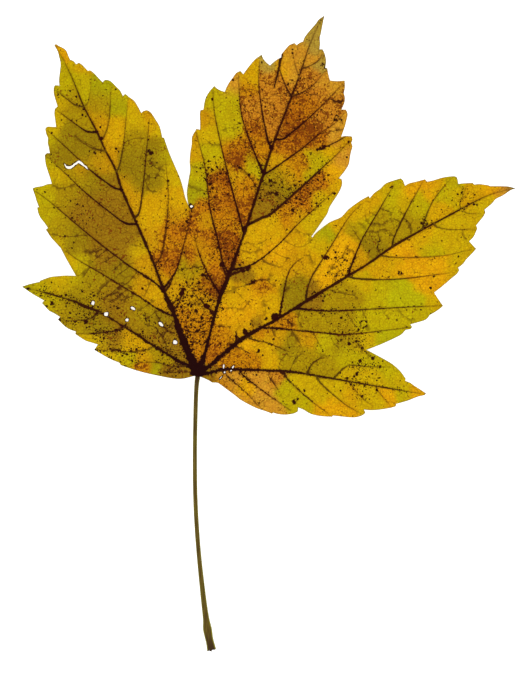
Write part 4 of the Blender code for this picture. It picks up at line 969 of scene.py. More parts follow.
def within(points, loop):
    """Whether each point lies within the closed loop."""
    a = np.array([p[:2] for p in loop])
    b = np.roll(a, -1, axis=0)
    found = np.zeros(len(points), bool)
    for first in range(0, len(points), SORTED_AT_ONCE):
        x, y = points[first : first + SORTED_AT_ONCE].T[:, :, None]
        straddles = (a[:, 1] > y) != (b[:, 1] > y)
        rise = np.where(b[:, 1] == a[:, 1], 1, b[:, 1] - a[:, 1])
        crosses = a[:, 0] + (y - a[:, 1]) * (b[:, 0] - a[:, 0]) / rise > x
        found[first : first + SORTED_AT_ONCE] = (straddles & crosses).sum(axis=1) % 2 == 1
    return found


def hole_rings():
    """The holes' and the tear's edges as closed loops, a little uneven."""
    rings = []
    for x, y, length, breadth, slant in HOLES:
        middle = from_photo(x, y)
        turn = Matrix.Rotation(math.radians(slant), 2)
        ring = []
        for corner in range(HOLE_CORNERS):
            angle = 2 * math.pi * corner / HOLE_CORNERS
            p = turn @ Vector((math.cos(angle) * length, math.sin(angle) * breadth)) / 2 / PIXELS_PER_MM
            p *= 1 + HOLE_UNEVENNESS * noise.noise((middle + p * HOLE_FINENESS).to_3d())
            ring.append(middle + p)
        rings.append(ring)
    stations = [(*from_photo(x, y), breadth / PIXELS_PER_MM) for x, y, breadth in TEAR]
    middles = smooth_course(stations, TEAR_STEP)
    upper, lower = [], []
    for before, at, after in zip(middles, middles[1:], middles[2:]):
        across = (after.xy - before.xy).normalized().orthogonal() * at.z / 2
        for side, turned, fineness in zip((upper, lower), (across, -across), TEAR_FINENESS):
            side.append(at.xy + turned + TEAR_RAGGED * noise.noise_vector(at.xyz * fineness).xy)
    rings.append([middles[0].xy, *upper, middles[-1].xy, *reversed(lower)])
    return rings


def place(point, points, cells, gap):
    """The index of the point: its own, or that of one placed before within the gap."""
    column, row = int(point[0] // gap), int(point[1] // gap)
    for near in ((column + i, row + j) for i in (-1, 0, 1) for j in (-1, 0, 1)):
        for index in cells.get(near, ()):
            if math.dist(points[index], point[:2]) < gap:
                return index
    points.append(tuple(point[:2]))
    cells.setdefault((column, row), []).append(len(points) - 1)
    return len(points) - 1


def link_up(stations):
    """The edges that join the stations in turn, with a gap wherever one is None."""
    return [(a, b) for a, b in zip(stations, stations[1:]) if None not in (a, b) and a != b]


def scatter_seeds(loop, lines, random):
    """A seed for each mesh of the vein net, in uneven rows, clear of the veins and the margin."""
    corners = np.array([p[:] for p in loop])
    low, high = corners.min(axis=0), corners.max(axis=0)
    row_height = AREOLE * ROW_RISE
    seeds = []
    for row in range(int((high[1] - low[1]) / row_height) + 1):
        for column in range(int((high[0] - low[0]) / AREOLE) + 1):
            x, y = low[0] + (column + row % 2 / 2) * AREOLE, low[1] + row * row_height
            seeds.append(np.array((x, y)) + random.uniform(-SEED_JITTER, SEED_JITTER, 2) * AREOLE)
    seeds = np.array(seeds)
    seeds = seeds[within(seeds, loop)]
    edge = as_line([*loop, loop[0]])
    clear = near_lines(seeds, [*lines, edge], AREOLE)[0] > SEED_CLEAR
    return seeds[clear]


def twig_lines(vein_courses, lines):
    """The net of twigs between the veins: those given one by one, with the tone 1, and a honeycomb grown
    around seeds, with the tone 0."""
    random = np.random.default_rng(SEED)
    hand = [smooth_course([from_photo(*p) for p in course], TWIG_STEP) for course in TWIGS]
    form = (TWIG_HALF_WIDTH, TWIG_RIB_HALF_WIDTH, TWIG_RIB)
    twigs = [as_line(course, *form, tone=1, show=HAND_TWIG_SHOW) for course in hand]
    loop = margin_loop(AREOLE)
    points, cells, edges = [], {}, []
    rim = [place(p, points, cells, SAME_POINT) for p in loop]
    edges += link_up([*rim, rim[0]])
    margin_edges = len(edges)
    for course in [*vein_courses, *([from_photo(*p) for p in course] for course in TWIGS)]:
        stations = smooth_course(course, NET_STATION_STEP)
        kept = within(np.array([p[:] for p in stations]), loop)
        edges += link_up([
            place(p, points, cells, NET_GAP) if keep else None for p, keep in zip(stations, kept)])
    for seed in scatter_seeds(loop, [*lines, *twigs], random):
        place(seed, points, cells, NET_GAP)
    flat, links, faces, _, link_sources, _ = geometry.delaunay_2d_cdt(
        [Vector(p) for p in points], edges, [], KEEP_INSIDE, NET_EPSILON)
    sources = {frozenset(link): source for link, source in zip(links, link_sources)}
    sides = {}
    for face in faces:
        middle = sum((flat[i] for i in face), Vector((0, 0))) / len(face)
        for a, b in zip(face, face[1:] + face[:1]):
            sides.setdefault(frozenset((a, b)), []).append(middle)
    for link in sorted(sides, key=sorted):
        middles, source = sides[link], sources[link]
        a, b = (flat[i] for i in link)
        strength = random.uniform(*TWIG_STRENGTHS)
        if source and min(source) < margin_edges:
            ends = [(middles[0], a.lerp(b, 0.5))] if random.random() < TWIGS_TO_MARGIN else []
        elif source:
            ends = [(middle, a.lerp(b, 0.5)) for middle in middles]
        else:
            ends = [tuple(middles)] if len(middles) == 2 and random.random() > TWIGS_MISSING else []
        for start, end in ends:
            if (end - start).length > TWIG_STEP / 2:
                count = max(2, round((end - start).length / TWIG_STEP) + 1)
                course = [start.lerp(end, i / (count - 1)) for i in range(count)]
                course = [
                    p + TWIG_WANDER * noise.noise_vector(p.to_3d() / TWIG_WANDER_LENGTH).xy for p in course]
                twigs.append(as_line(course, *form, show=strength))
    return twigs


def lay_points(loop, rings, veins, twigs):
    """The flat blade's points, and the edges that the triangles have to keep: margin, holes, veins
    and twigs. The veins and the twigs are moved onto the points that they share."""
    points, cells, edges = [], {}, []
    for ring in [loop, *rings]:
        stations = [place(p, points, cells, SAME_POINT) for p in ring]
        edges += link_up([*stations, stations[0]])
    edge_lines = [as_line([*ring, ring[0]]) for ring in [loop, *rings]]
    rim = np.array([p[:] for p in loop])
    vein_edges = []
    for lines, gap in ((veins, VEIN_GAP), (twigs, TWIG_GAP)):
        for line in lines:
            at = line[:, :2]
            keep = within(at, loop) & (near_lines(at, edge_lines, CLEAR_SEARCH)[0] > EDGE_CLEAR)
            for ring in rings:
                keep &= ~within(at, ring)
            stations = [place(p, points, cells, gap) if kept else None for p, kept in zip(at, keep)]
            for row, station in zip(line, stations):
                if station is not None:
                    row[:2] = points[station]
            if lines is veins:
                to_rim = np.hypot(*(rim - at[keep][-1]).T)
                if to_rim.min() < TIE_REACH:
                    tip = [s for s in stations if s is not None][-1]
                    stations += [None, tip, place(rim[to_rim.argmin()], points, cells, SAME_POINT)]
                vein_edges += link_up(stations)
            edges += link_up(stations)
    loose = []
    for line in veins:
        along = line[2:, :2] - line[:-2, :2]
        across = np.column_stack([-along[:, 1], along[:, 0]]) / np.linalg.norm(along, axis=1)[:, None]
        for share in RIB_STATIONS:
            foot = across * line[1:-1, 3:4] * share
            loose += [*(line[1:-1, :2] + foot), *(line[1:-1, :2] - foot)]
    for x, y, radius in [*MARKS, *RINGS]:
        middle, radius = from_photo(x, y), radius / PIXELS_PER_MM
        loose.append(np.array(middle))
        for share in MARK_STATIONS:
            count = max(6, round(2 * math.pi * radius * share / MARK_STEP))
            turns = 2 * math.pi * np.arange(count) / count
            circle = np.column_stack([np.cos(turns), np.sin(turns)])
            loose += list(np.array(middle) + circle * radius * share)
    corners = np.array(points)
    low, high = corners.min(axis=0), corners.max(axis=0)
    row_height = FILL_STEP * ROW_RISE
    columns = np.arange(int((high[0] - low[0]) / FILL_STEP) + 1)
    fill = []
    for row in range(int((high[1] - low[1]) / row_height) + 1):
        x = low[0] + (columns + row % 2 / 2) * FILL_STEP
        fill.append(np.column_stack([x, np.full(len(x), low[1] + row * row_height)]))
    for group, clear in ((np.array(loose), LOOSE_CLEAR), (np.concatenate(fill), CLEAR_OF_LINES)):
        group = group[within(group, loop)]
        group = group[near_lines(group, [*edge_lines, *veins, *twigs], CLEAR_SEARCH)[0] > clear]
        for ring in rings:
            group = group[~within(group, ring)]
        for p in group:
            place(p, points, cells, clear)
    return points, edges, vein_edges


def blade_heights(points, mains, veins, twigs, rim):
    """How high the blade's lower and upper faces are above the surface at each point."""
    radius = np.hypot(points[:, 0], points[:, 1])
    angle = np.degrees(np.arctan2(points[:, 1], points[:, 0]))
    angle = np.where(angle < -90, angle + 360, angle)
    lobes = np.array(LOBES)
    length, lift, arch, clearance = (np.interp(angle, lobes[:, 0], lobes[:, i]) for i in range(1, 5))
    share = radius / length
    to_low = np.clip(share / LOW_POINT_SHARE, 0, 1)
    past_low = np.clip((share - LOW_POINT_SHARE) / (1 - LOW_POINT_SHARE), 0, FURTHEST_PAST_LOW)
    main_distance = near_lines(points, mains, MAIN_SEARCH)[0]
    distance, _, ribs, *_ = near_lines(points, veins, RIB_SEARCH)
    twig_distance = near_lines(points, twigs, TWIG_GROOVE_SEARCH)[0]
    ripple = np.array([noise.noise(Vector((x, y, 0)) / RIPPLE_LENGTH) + 0.5 for x, y in points])
    sheet = taper(MAIN_RIB_DEPTH, MAIN_RIB_TIP_DEPTH, np.clip(share, 0, 1))
    sheet += arch * np.sin(math.pi * to_low) ** 2 + clearance * smoothstep(to_low)
    sheet += lift * past_low**2 + RIPPLE_HEIGHT * np.clip(ripple, 0, 1) * past_low
    sheet += MAIN_SWELL * (1 - np.exp(-((main_distance / MAIN_SWELL_REACH) ** 2)))
    sheet += SIDE_SWELL * (1 - np.exp(-((distance / SIDE_SWELL_REACH) ** 2)))
    upper = sheet + SOLID_THICKNESS - TOP_BELOW_SOLID
    crinkle = np.array([noise.noise(Vector((x, y, 7)) / CRINKLE_LENGTH) for x, y in points])
    pucker = 1 - np.exp(-((np.minimum(twig_distance, distance) / PUCKER_REACH) ** 2))
    upper += CRINKLE * crinkle + PUCKER * (pucker - PUCKER_LEVEL)
    thickness = RIM_THICKNESS + (THICKNESS - RIM_THICKNESS) * smoothstep(rim / RIM_BREADTH)
    lower = upper - thickness - ribs * RIB_REACH
    lower -= TWIG_RIB * np.exp(-((twig_distance / TWIG_RIB_HALF_WIDTH) ** 2))
    upper -= MAIN_GROOVE * np.exp(-((main_distance / MAIN_GROOVE_REACH) ** 2))
    upper -= SIDE_GROOVE * np.exp(-((distance / SIDE_GROOVE_REACH) ** 2))
    upper -= TWIG_GROOVE * np.exp(-((twig_distance / TWIG_GROOVE_REACH) ** 2))
    lower = np.maximum(lower, 0)
    lower[radius < KNOT_FLAT_RADIUS] = 0
    return lower, np.maximum(upper, lower + RIM_THICKNESS / 2)


def panels(points, faces, barriers):
    """Which panels each point belongs to. A panel is the faces that no barrier, a vein, parts."""
    beside = {}
    for index, face in enumerate(faces):
        for a, b in zip(face, face[1:] + face[:1]):
            if frozenset((a, b)) not in barriers:
                beside.setdefault(frozenset((a, b)), []).append(index)
    neighbours = [[] for _ in faces]
    for pair in beside.values():
        if len(pair) == 2:
            neighbours[pair[0]].append(pair[1])
            neighbours[pair[1]].append(pair[0])
    panel_of = [None] * len(faces)
    count = 0
    for start in range(len(faces)):
        if panel_of[start] is None:
            panel_of[start] = count
            waiting = [start]
            while waiting:
                for near in neighbours[waiting.pop()]:
                    if panel_of[near] is None:
                        panel_of[near] = count
                        waiting.append(near)
            count += 1
    belongs = np.zeros((len(points), count), bool)
    for face, panel in zip(faces, panel_of):
        belongs[list(face), panel] = True
    return belongs


def warped(points, stretches):
    """The points moved about by smooth noise, each stretch with its length and its height."""
    moved = points.copy()
    for length, height in stretches:
        moved += [height * noise.noise_vector(Vector((x, y, length)) / length).xy for x, y in points]
    return moved


def autumn_colours(points, belongs):
    """The colour and the freckling at each point: the patches of its panel blended into each other."""
    centres = np.array([from_photo(x, y) for x, y, _, _ in PATCHES])
    reaches = np.array([reach for _, _, reach, _ in PATCHES]) / PIXELS_PER_MM * PATCH_SOFTNESS
    paints = np.array([(*linear(colour, LEAF_SHADE)[:3], freckled) for *_, (colour, freckled) in PATCHES])
    single = np.flatnonzero(belongs.sum(axis=1) == 1)
    home = [belongs[single[np.hypot(*(points[single] - c).T).argmin()]].argmax() for c in centres]
    shares_panel = np.where(belongs[:, home], 1.0, PATCH_ACROSS_VEINS)
    moved = warped(points, PATCH_WARP)
    blended = np.empty((len(points), 4))
    for first in range(0, len(points), PAINTED_AT_ONCE):
        rows = slice(first, first + PAINTED_AT_ONCE)
        gap = np.linalg.norm(moved[rows, None] - centres, axis=2)
        weight = np.exp(-((gap / reaches) ** 2) / 2) * shares_panel[rows] + FROM_FAR / (1 + gap**2)
        blended[rows] = weight @ paints / weight.sum(axis=1)[:, None]
    return blended


def near_marks(points):
    """How far each point is outside the nearest dark mark or ring."""
    outside = np.full(len(points), MARK_SEARCH)
    for x, y, radius in MARKS:
        gap = np.hypot(*(points - np.array(from_photo(x, y))).T)
        outside = np.minimum(outside, gap - radius / PIXELS_PER_MM)
    for x, y, radius in RINGS:
        gap = np.hypot(*(points - np.array(from_photo(x, y))).T)
        outside = np.minimum(outside, np.abs(gap - radius / PIXELS_PER_MM) - RING_HALF_WIDTH)
    return outside


def dotted(points, outside):
    """How thickly small dark dots lie at each point: in clusters, and along the veins there."""
    density = np.full(len(points), FEWEST_DOTS)
    for x, y, reach, most in DOTTED:
        gap = np.hypot(*(points - np.array(from_photo(x, y))).T) * PIXELS_PER_MM
        density = np.maximum(density, most * np.exp(-((gap / reach) ** 4)))
    along_veins = np.exp(-((np.maximum(outside, 0) / DOTS_VEIN_REACH) ** 2))
    return density * (DOTS_ANYWHERE + DOTS_ALONG_VEINS * along_veins)


def make_object(name, bm, materials):
    """An object that holds the mesh, shaded smooth."""
    bmesh.ops.recalc_face_normals(bm, faces=bm.faces[:])
    mesh = bpy.data.meshes.new(name)
    bm.to_mesh(mesh)
    bm.free()
    mesh.shade_smooth()
    for material in materials:
        mesh.materials.append(material)
    obj = bpy.data.objects.new(name, mesh)
    bpy.context.scene.collection.objects.link(obj)
    return obj


def build_blade(materials):
    """The blade: a flat web of triangles that keeps margin, veins, twigs and holes, pulled up into a
    thin sheet. Blender's triangulation gives the web, since no operator draws a shape like it."""
    mains, sides = vein_lines()
    veins = mains + sides
    vein_courses = [course for _, course in MAIN_VEINS.values()] + [course for *_, course in SIDE_VEINS]
    twigs = twig_lines(vein_courses, veins)
    loop, rings = margin_loop(MARGIN_STEP), hole_rings()
    laid, edges, vein_edges = lay_points(loop, rings, veins, twigs)
    flat, links, faces, _, link_sources, _ = geometry.delaunay_2d_cdt(
        [Vector(p) for p in laid], edges, [], KEEP_INSIDE, SAME_POINT / 10)
    points = np.array([p[:] for p in flat])
    middles = np.array([points[list(face)].mean(axis=0) for face in faces])
    cut = np.any([within(middles, ring) for ring in rings], axis=0)
    faces = [face for face, gone in zip(faces, cut) if not gone]

    rim = near_lines(points, [as_line([*loop, loop[0]])], RIM_SEARCH)[0]
    to_hole = near_lines(points, [as_line([*ring, ring[0]]) for ring in rings], HOLE_SEARCH)[0]
    _, outside, _, tone, show = near_lines(points, veins, BAND_SEARCH)
    near_knot = np.hypot(points[:, 0], points[:, 1])
    outside = np.minimum(outside, near_knot - KNOT_RADIUS)
    _, twig, _, by_hand, twig_show = near_lines(points, twigs, TWIG_SEARCH)
    lower, upper = blade_heights(points, mains, veins, twigs, rim)
    walls = {frozenset(edge) for edge in vein_edges}
    is_wall = [frozenset(edge) in walls for edge in edges]
    barriers = {
        frozenset(link) for link, source in zip(links, link_sources) if any(is_wall[i] for i in source)}
    tint = autumn_colours(points, panels(points, faces, barriers))
    least = np.where(by_hand > 0.5, HAND_TWIG_LEAST, NET_LEAST)
    twig_show *= least + NET_WITH_FRECKLES * tint[:, 3]
    marks = np.minimum(near_marks(points), to_hole - HOLE_EDGING)
    beside = np.minimum(outside, np.where(by_hand > 0.5, twig, TWIG_SEARCH))

    # The photograph shows what is higher larger, so it is drawn in towards the photograph's centre.
    centre = np.array(from_photo(*PHOTO_CENTRE_PIXEL))
    nearer = (CAMERA_HEIGHT - (lower + upper) / 2) / (CAMERA_HEIGHT - BLADE_LEVEL)
    points = centre + (points - centre) * nearer[:, None]

    bm = bmesh.new()
    layers = {
        "vein": outside, "tone": tone, "show": show, "twig": twig, "twig_show": twig_show, "rim": rim,
        "mark": marks, "dots": dotted(points, beside), "freckles": tint[:, 3],
        "halo": np.clip(1 - near_knot / HALO_REACH, 0, 1),
    }
    float_layers = {name: bm.verts.layers.float.new(name) for name in layers}
    colour_layer = bm.verts.layers.float_color.new("tint")
    under = [bm.verts.new((*p * MM, 0)) for p in points]
    for name, values in layers.items():
        for v, value in zip(under, values):
            v[float_layers[name]] = value
    for v, colour in zip(under, tint):
        v[colour_layer] = (*colour[:3], 1)
    for face in faces:
        bm.faces.new([under[i] for i in face])
    kept = [(v, low, high) for v, low, high in zip(under, lower, upper) if v.link_faces]
    bmesh.ops.delete(bm, geom=[v for v in under if not v.link_faces], context="VERTS")
    top_of = {v.co.xy.to_tuple(): high * MM for v, _, high in kept}
    raised = bmesh.ops.extrude_face_region(bm, geom=bm.faces[:], use_keep_orig=True)
    for v in raised["geom"]:
        if isinstance(v, bmesh.types.BMVert):
            v.co.z = top_of[v.co.xy.to_tuple()]
    for v, low, _ in kept:
        v.co.z = low * MM
    bm.normal_update()
    blade = make_object("blade", bm, materials)
    for polygon in blade.data.polygons:
        polygon.material_index = 1 if polygon.normal.z < UNDERSIDE_TURN else 0
    blade.data.set_sharp_from_angle(angle=math.radians(SHARP_ANGLE))
    return blade


def build_stalk(material):
    """The stalk as a closed tube, drawn out ring by ring from the knot to its torn, swollen foot,
    whose end is hollow."""
    stations = smooth_course(STALK, STALK_STEP)
    ways = [(after - before).xyz.normalized() for before, after in zip(stations, stations[1:])]
    ways.append(ways[-1])
    foot = len(stations) - 1
    stations.append(stations[-1] * 1)
    stations[-1].xyz -= ways[-1] * FOOT_HOLLOW
    stations[-1].w *= FOOT_HOLLOW_NARROWS
    ways.append(ways[-1])
    bm = bmesh.new()
    backlit_flank, ends = (bm.verts.layers.float.new(name) for name in ("backlit_flank", "ends"))
    bmesh.ops.create_cone(bm, cap_ends=True, segments=STALK_SIDES, radius1=1, radius2=1, depth=1)
    caps = [face for face in bm.faces if len(face.verts) == STALK_SIDES]
    first, last = sorted(caps, key=lambda face: face.calc_center_median().z)
    for index, (station, way) in enumerate(zip(stations, ways)):
        if index > 1:
            last = bmesh.ops.extrude_discrete_faces(bm, faces=[last])["faces"][0]
        face = last if index else first
        if index < 2:
            corners = [v.co.xy for v in face.verts]
        turn = way.to_track_quat("Z", "Y").to_matrix()
        for v, corner in zip(face.verts, corners):
            out = turn @ (corner * station.w).to_3d()
            tear = noise.noise((corner * FOOT_TEAR_FINENESS).to_3d()) - FOOT_TEAR_LEVEL
            torn = FOOT_TORN * tear if index == foot else 0
            v.co = (station.xyz + out + way * torn) * MM
            # Painted backlight: the sides as seen from above are marked to be painted lighter and greener, as
            # if light shone through their thin tissue
            v[backlit_flank] = smoothstep((out.xy.length / station.w - BACKLIT_FLANK_FROM) / BACKLIT_FLANK_BREADTH)
            v[ends] = max(
                smoothstep((station.y - UPPER_END) / UPPER_END_LENGTH),
                smoothstep((LOWER_END - station.y) / LOWER_END_LENGTH))
    return make_object("stalk", bm, [material])


def add_node(tree, kind, inputs, **settings):
    """Add a node with its settings. Each input is given a value, or the socket that feeds it."""
    node = tree.nodes.new(kind)
    for name, value in settings.items():
        setattr(node, name, value)
    for name, value in inputs.items():
        if isinstance(value, bpy.types.NodeSocket):
            tree.links.new(value, node.inputs[name])
        else:
            node.inputs[name].default_value = value
    return node


def new_material(name):
    """A material, its node tree and its Principled shader."""
    material = bpy.data.materials.new(name)
    material.use_nodes = True
    return material, material.node_tree, material.node_tree.nodes["Principled BSDF"]


FIELDS = ("vein", "tone", "show", "twig", "twig_show", "rim", "mark", "dots", "freckles", "halo")

# A colour Mix node's own sockets for its two colours, and its result
FIRST, SECOND, MIXED = 6, 7, 2


def leaf_skin(name, look):
    """Thin waxy leaf tissue as it dries in autumn: yellow and green pigment in patches, brown where
    it has died, darker wherever the veins, the net between them and the dead dots show through."""
    material, tree, shader = new_material(name)
    place_mm = add_node(tree, "ShaderNodeMapping", {
        "Vector": add_node(tree, "ShaderNodeTexCoord", {}).outputs["Object"], "Scale": (1 / MM,) * 3,
    }).outputs["Vector"]
    field = {
        name: add_node(tree, "ShaderNodeAttribute", {}, attribute_name=name).outputs["Fac"] for name in FIELDS
    }
    tint = add_node(tree, "ShaderNodeAttribute", {}, attribute_name="tint").outputs["Color"]
    cloud, clump, grain, fray = (
        add_node(tree, "ShaderNodeTexNoise", {
            "Vector": place_mm, "Scale": 1 / size, "Detail": detail, "Roughness": 0.6,
        }).outputs
        for size, detail in ((CLOUD_SIZE, 4), (CLUMP_SIZE, 2), (GRAIN_SIZE, 2), (FRAY_SIZE, 2))
    )
    warp = add_node(tree, "ShaderNodeVectorMath", {
        0: fray["Color"], 1: (DOT_WARP,) * 3, 2: place_mm,
    }, operation="MULTIPLY_ADD").outputs["Vector"]
    cloud, clump, grain, fray = (outputs["Fac"] for outputs in (cloud, clump, grain, fray))
    layers = []

    # Cloudy deeper tones, fresher clumps, and the grain of single cells, darker and paler
    deeper = add_node(tree, "ShaderNodeHueSaturation", {
        "Color": tint, "Hue": look["cloud_hue"], "Value": look["cloud_value"],
    }).outputs["Color"]
    layers.append((add_node(tree, "ShaderNodeMapRange", {
        "Value": cloud, "From Min": 0.40, "From Max": 0.66, "To Max": 0.75,
    }).outputs["Result"], deeper))

    layers.append((add_node(tree, "ShaderNodeMapRange", {
        "Value": grain, "From Min": 0.42, "From Max": 0.68, "To Max": 0.8,
    }).outputs["Result"], deeper))

    fresher = add_node(tree, "ShaderNodeHueSaturation", {
        "Color": tint, "Hue": look["clump_hue"], "Value": look["clump_value"],
    }).outputs["Color"]
    layers.append((add_node(tree, "ShaderNodeMapRange", {
        "Value": clump, "From Min": 0.48, "From Max": 0.60, "To Max": 0.45,
    }).outputs["Result"], fresher))
    paler = add_node(tree, "ShaderNodeHueSaturation", {
        "Color": tint, "Value": look["grain_value"],
    }).outputs["Color"]
    layers.append((add_node(tree, "ShaderNodeMapRange", {
        "Value": grain, "From Min": 0.46, "From Max": 0.32, "To Max": 0.8,
    }).outputs["Result"], paler))

    # Brown freckles, crowded where the tissue has died
    crowding = add_node(tree, "ShaderNodeMath", {0: clump, 1: 0.9, 2: grain}, operation="MULTIPLY_ADD")
    speckle = add_node(tree, "ShaderNodeMath", {
        0: field["freckles"], 1: 0.30, 2: crowding.outputs["Value"],
    }, operation="MULTIPLY_ADD")
    layers.append((add_node(tree, "ShaderNodeMapRange", {
        "Value": speckle.outputs["Value"], "From Min": 1.19, "From Max": 1.27, "To Max": look["freckle"],
    }).outputs["Result"], linear(look["freckle_colour"], LEAF_SHADE)))

    # The finest meshes of the vein net, and the twigs that bound them
    finest = add_node(tree, "ShaderNodeTexVoronoi", {
        "Vector": place_mm, "Scale": 1 / FINEST_MESH,
    }, feature="DISTANCE_TO_EDGE", voronoi_dimensions="2D").outputs["Distance"]
    netted = add_node(tree, "ShaderNodeMapRange", {
        "Value": field["freckles"], "From Max": 0.6, "To Min": NET_LEAST, "To Max": 1.0,
    }).outputs["Result"]
    layers.append((add_node(tree, "ShaderNodeMath", {
        0: add_node(tree, "ShaderNodeMapRange", {
            "Value": finest, "From Min": 0.13, "From Max": 0.02, "To Max": look["finest"],
        }).outputs["Result"], 1: netted,
    }, operation="MULTIPLY").outputs["Value"], linear(look["freckle_colour"], LEAF_SHADE)))

    frayed = {}
    for line, reach in (("twig", 0.12), ("mark", 1.6)):
        frayed[line] = add_node(tree, "ShaderNodeMath", {
            0: add_node(tree, "ShaderNodeMath", {0: fray, 1: 0.5}, operation="SUBTRACT").outputs["Value"],
            1: reach, 2: field[line],
        }, operation="MULTIPLY_ADD").outputs["Value"]
    twig = add_node(tree, "ShaderNodeMapRange", {
        "Value": frayed["twig"], "From Min": 0.06, "From Max": -0.11, "To Max": look["twig"],
    }).outputs["Result"]
    layers.append((add_node(tree, "ShaderNodeMath", {
        0: twig, 1: field["twig_show"],
    }, operation="MULTIPLY").outputs["Value"], linear(look["twig_colour"], LEAF_SHADE)))

    # Dark dots in three sizes, then the single marks and rings
    for size, least, most in DOT_SIZES:
        cells = add_node(tree, "ShaderNodeTexVoronoi", {
            "Vector": warp, "Scale": 1 / size,
        }, voronoi_dimensions="2D")
        chance = add_node(tree, "ShaderNodeSeparateColor", {"Color": cells.outputs["Color"]})
        there = add_node(tree, "ShaderNodeMath", {
            0: chance.outputs["Red"], 1: field["dots"],
        }, operation="LESS_THAN").outputs["Value"]
        radius = add_node(tree, "ShaderNodeMapRange", {
            "Value": chance.outputs["Green"], "To Min": least / size, "To Max": most / size,
        }).outputs["Result"]
        beyond = add_node(tree, "ShaderNodeMath", {
            0: cells.outputs["Distance"], 1: radius,
        }, operation="SUBTRACT").outputs["Value"]
        spot = add_node(tree, "ShaderNodeMapRange", {
            "Value": beyond, "From Min": 0.035, "From Max": -0.035, "To Max": look["dot"],
        }).outputs["Result"]
        layers.append((add_node(tree, "ShaderNodeMath", {
            0: spot, 1: there,
        }, operation="MULTIPLY").outputs["Value"], linear(look["mark_colour"], LEAF_SHADE)))
    layers.append((add_node(tree, "ShaderNodeMapRange", {
        "Value": frayed["mark"], "From Min": 0.15, "From Max": -0.12, "To Max": look["dot"],
    }).outputs["Result"], linear(look["mark_colour"], LEAF_SHADE)))

    # The thin dried margin
    layers.append((add_node(tree, "ShaderNodeMapRange", {
        "Value": field["rim"], "From Min": 0.32, "From Max": 0.10, "To Max": look["rim"],
    }).outputs["Result"], linear(look["rim_colour"], LEAF_SHADE)))

    # The veins: a faint reddish-brown darkening beside them, then their dark core with its frayed edge
    shadow = add_node(tree, "ShaderNodeMapRange", {
        "Value": field["vein"], "From Min": 0.5, "From Max": 0.0, "To Max": look["vein_shade"],
    }).outputs["Result"]
    vein_colour = add_node(tree, "ShaderNodeMix", {
        "Factor": field["tone"],
        FIRST: linear(look["vein_root"], LEAF_SHADE), SECOND: linear(look["vein_tip"], LEAF_SHADE),
    }, data_type="RGBA").outputs[MIXED]
    layers.append((add_node(tree, "ShaderNodeMath", {
        0: shadow, 1: field["show"],
    }, operation="MULTIPLY").outputs["Value"], linear(look["vein_tip"], LEAF_SHADE)))
    spread = add_node(tree, "ShaderNodeMath", {0: field["halo"], 1: HALO_FRAY}, operation="MULTIPLY_ADD")
    spread.inputs[2].default_value = VEIN_FRAY
    outward = add_node(tree, "ShaderNodeMath", {
        0: add_node(tree, "ShaderNodeMath", {0: fray, 1: 0.5}, operation="SUBTRACT").outputs["Value"],
        1: 0.04,
    }, operation="MINIMUM").outputs["Value"]
    fringe = add_node(tree, "ShaderNodeMath", {
        0: outward, 1: spread.outputs["Value"], 2: field["vein"],
    }, operation="MULTIPLY_ADD").outputs["Value"]
    core = add_node(tree, "ShaderNodeMapRange", {
        "Value": fringe, "From Min": 0.10, "From Max": -0.08, "To Max": look["vein"],
    }).outputs["Result"]
    layers.append((add_node(tree, "ShaderNodeMath", {
        0: core, 1: field["show"],
    }, operation="MULTIPLY").outputs["Value"], vein_colour))

    # The layers over each other, the veil of a paler underside, and the relief of the finest net
    paint = tint
    for factor, colour in layers:
        paint = add_node(tree, "ShaderNodeMix", {
            "Factor": factor, FIRST: paint, SECOND: colour,
        }, data_type="RGBA").outputs[MIXED]
    if look["veil"]:
        paint = add_node(tree, "ShaderNodeMix", {
            "Factor": look["veil"], FIRST: paint, SECOND: linear(look["veil_colour"], LEAF_SHADE),
        }, data_type="RGBA").outputs[MIXED]
    relief = add_node(tree, "ShaderNodeBump", {
        "Height": finest, "Strength": look["relief"], "Distance": 0.08 * MM,
    }).outputs["Normal"]
    shine = add_node(tree, "ShaderNodeMapRange", {
        "Value": grain, "To Min": look["roughness"] - 0.08, "To Max": look["roughness"] + 0.12,
    }).outputs["Result"]
    tree.links.new(paint, shader.inputs["Base Color"])
    tree.links.new(relief, shader.inputs["Normal"])
    tree.links.new(shine, shader.inputs["Roughness"])
    shader.inputs["IOR"].default_value = 1.45
    shader.inputs["Specular IOR Level"].default_value = look["specular"]
    return material


UPPER_SKIN = {
    "cloud_hue": 0.488, "cloud_value": 0.82, "clump_hue": 0.512, "clump_value": 0.98, "grain_value": 1.2,
    "freckle": 0.85, "freckle_colour": "#723004", "finest": 0.58,
    "twig": 0.95, "twig_colour": "#421C04", "dot": 1.0, "mark_colour": "#2C0A02", "rim": 0.6,
    "rim_colour": "#5C5418", "vein_root": "#200303", "vein_tip": "#440E02", "vein_shade": 0.3, "vein": 1.0,
    "veil": 0, "veil_colour": "#C8B878", "relief": 0.35, "roughness": 0.55, "specular": 0.035,
}
LOWER_SKIN = {
    **UPPER_SKIN, "freckle": 0.4, "finest": 0.3, "twig": 0.6, "twig_colour": "#6E4A18", "dot": 0.75,
    "vein_root": "#4E3216", "vein_tip": "#7A4E1C", "vein_shade": 0.3, "vein": 0.9, "veil": 0.34,
    "relief": 0.6, "roughness": 0.62, "specular": 0.15,
}


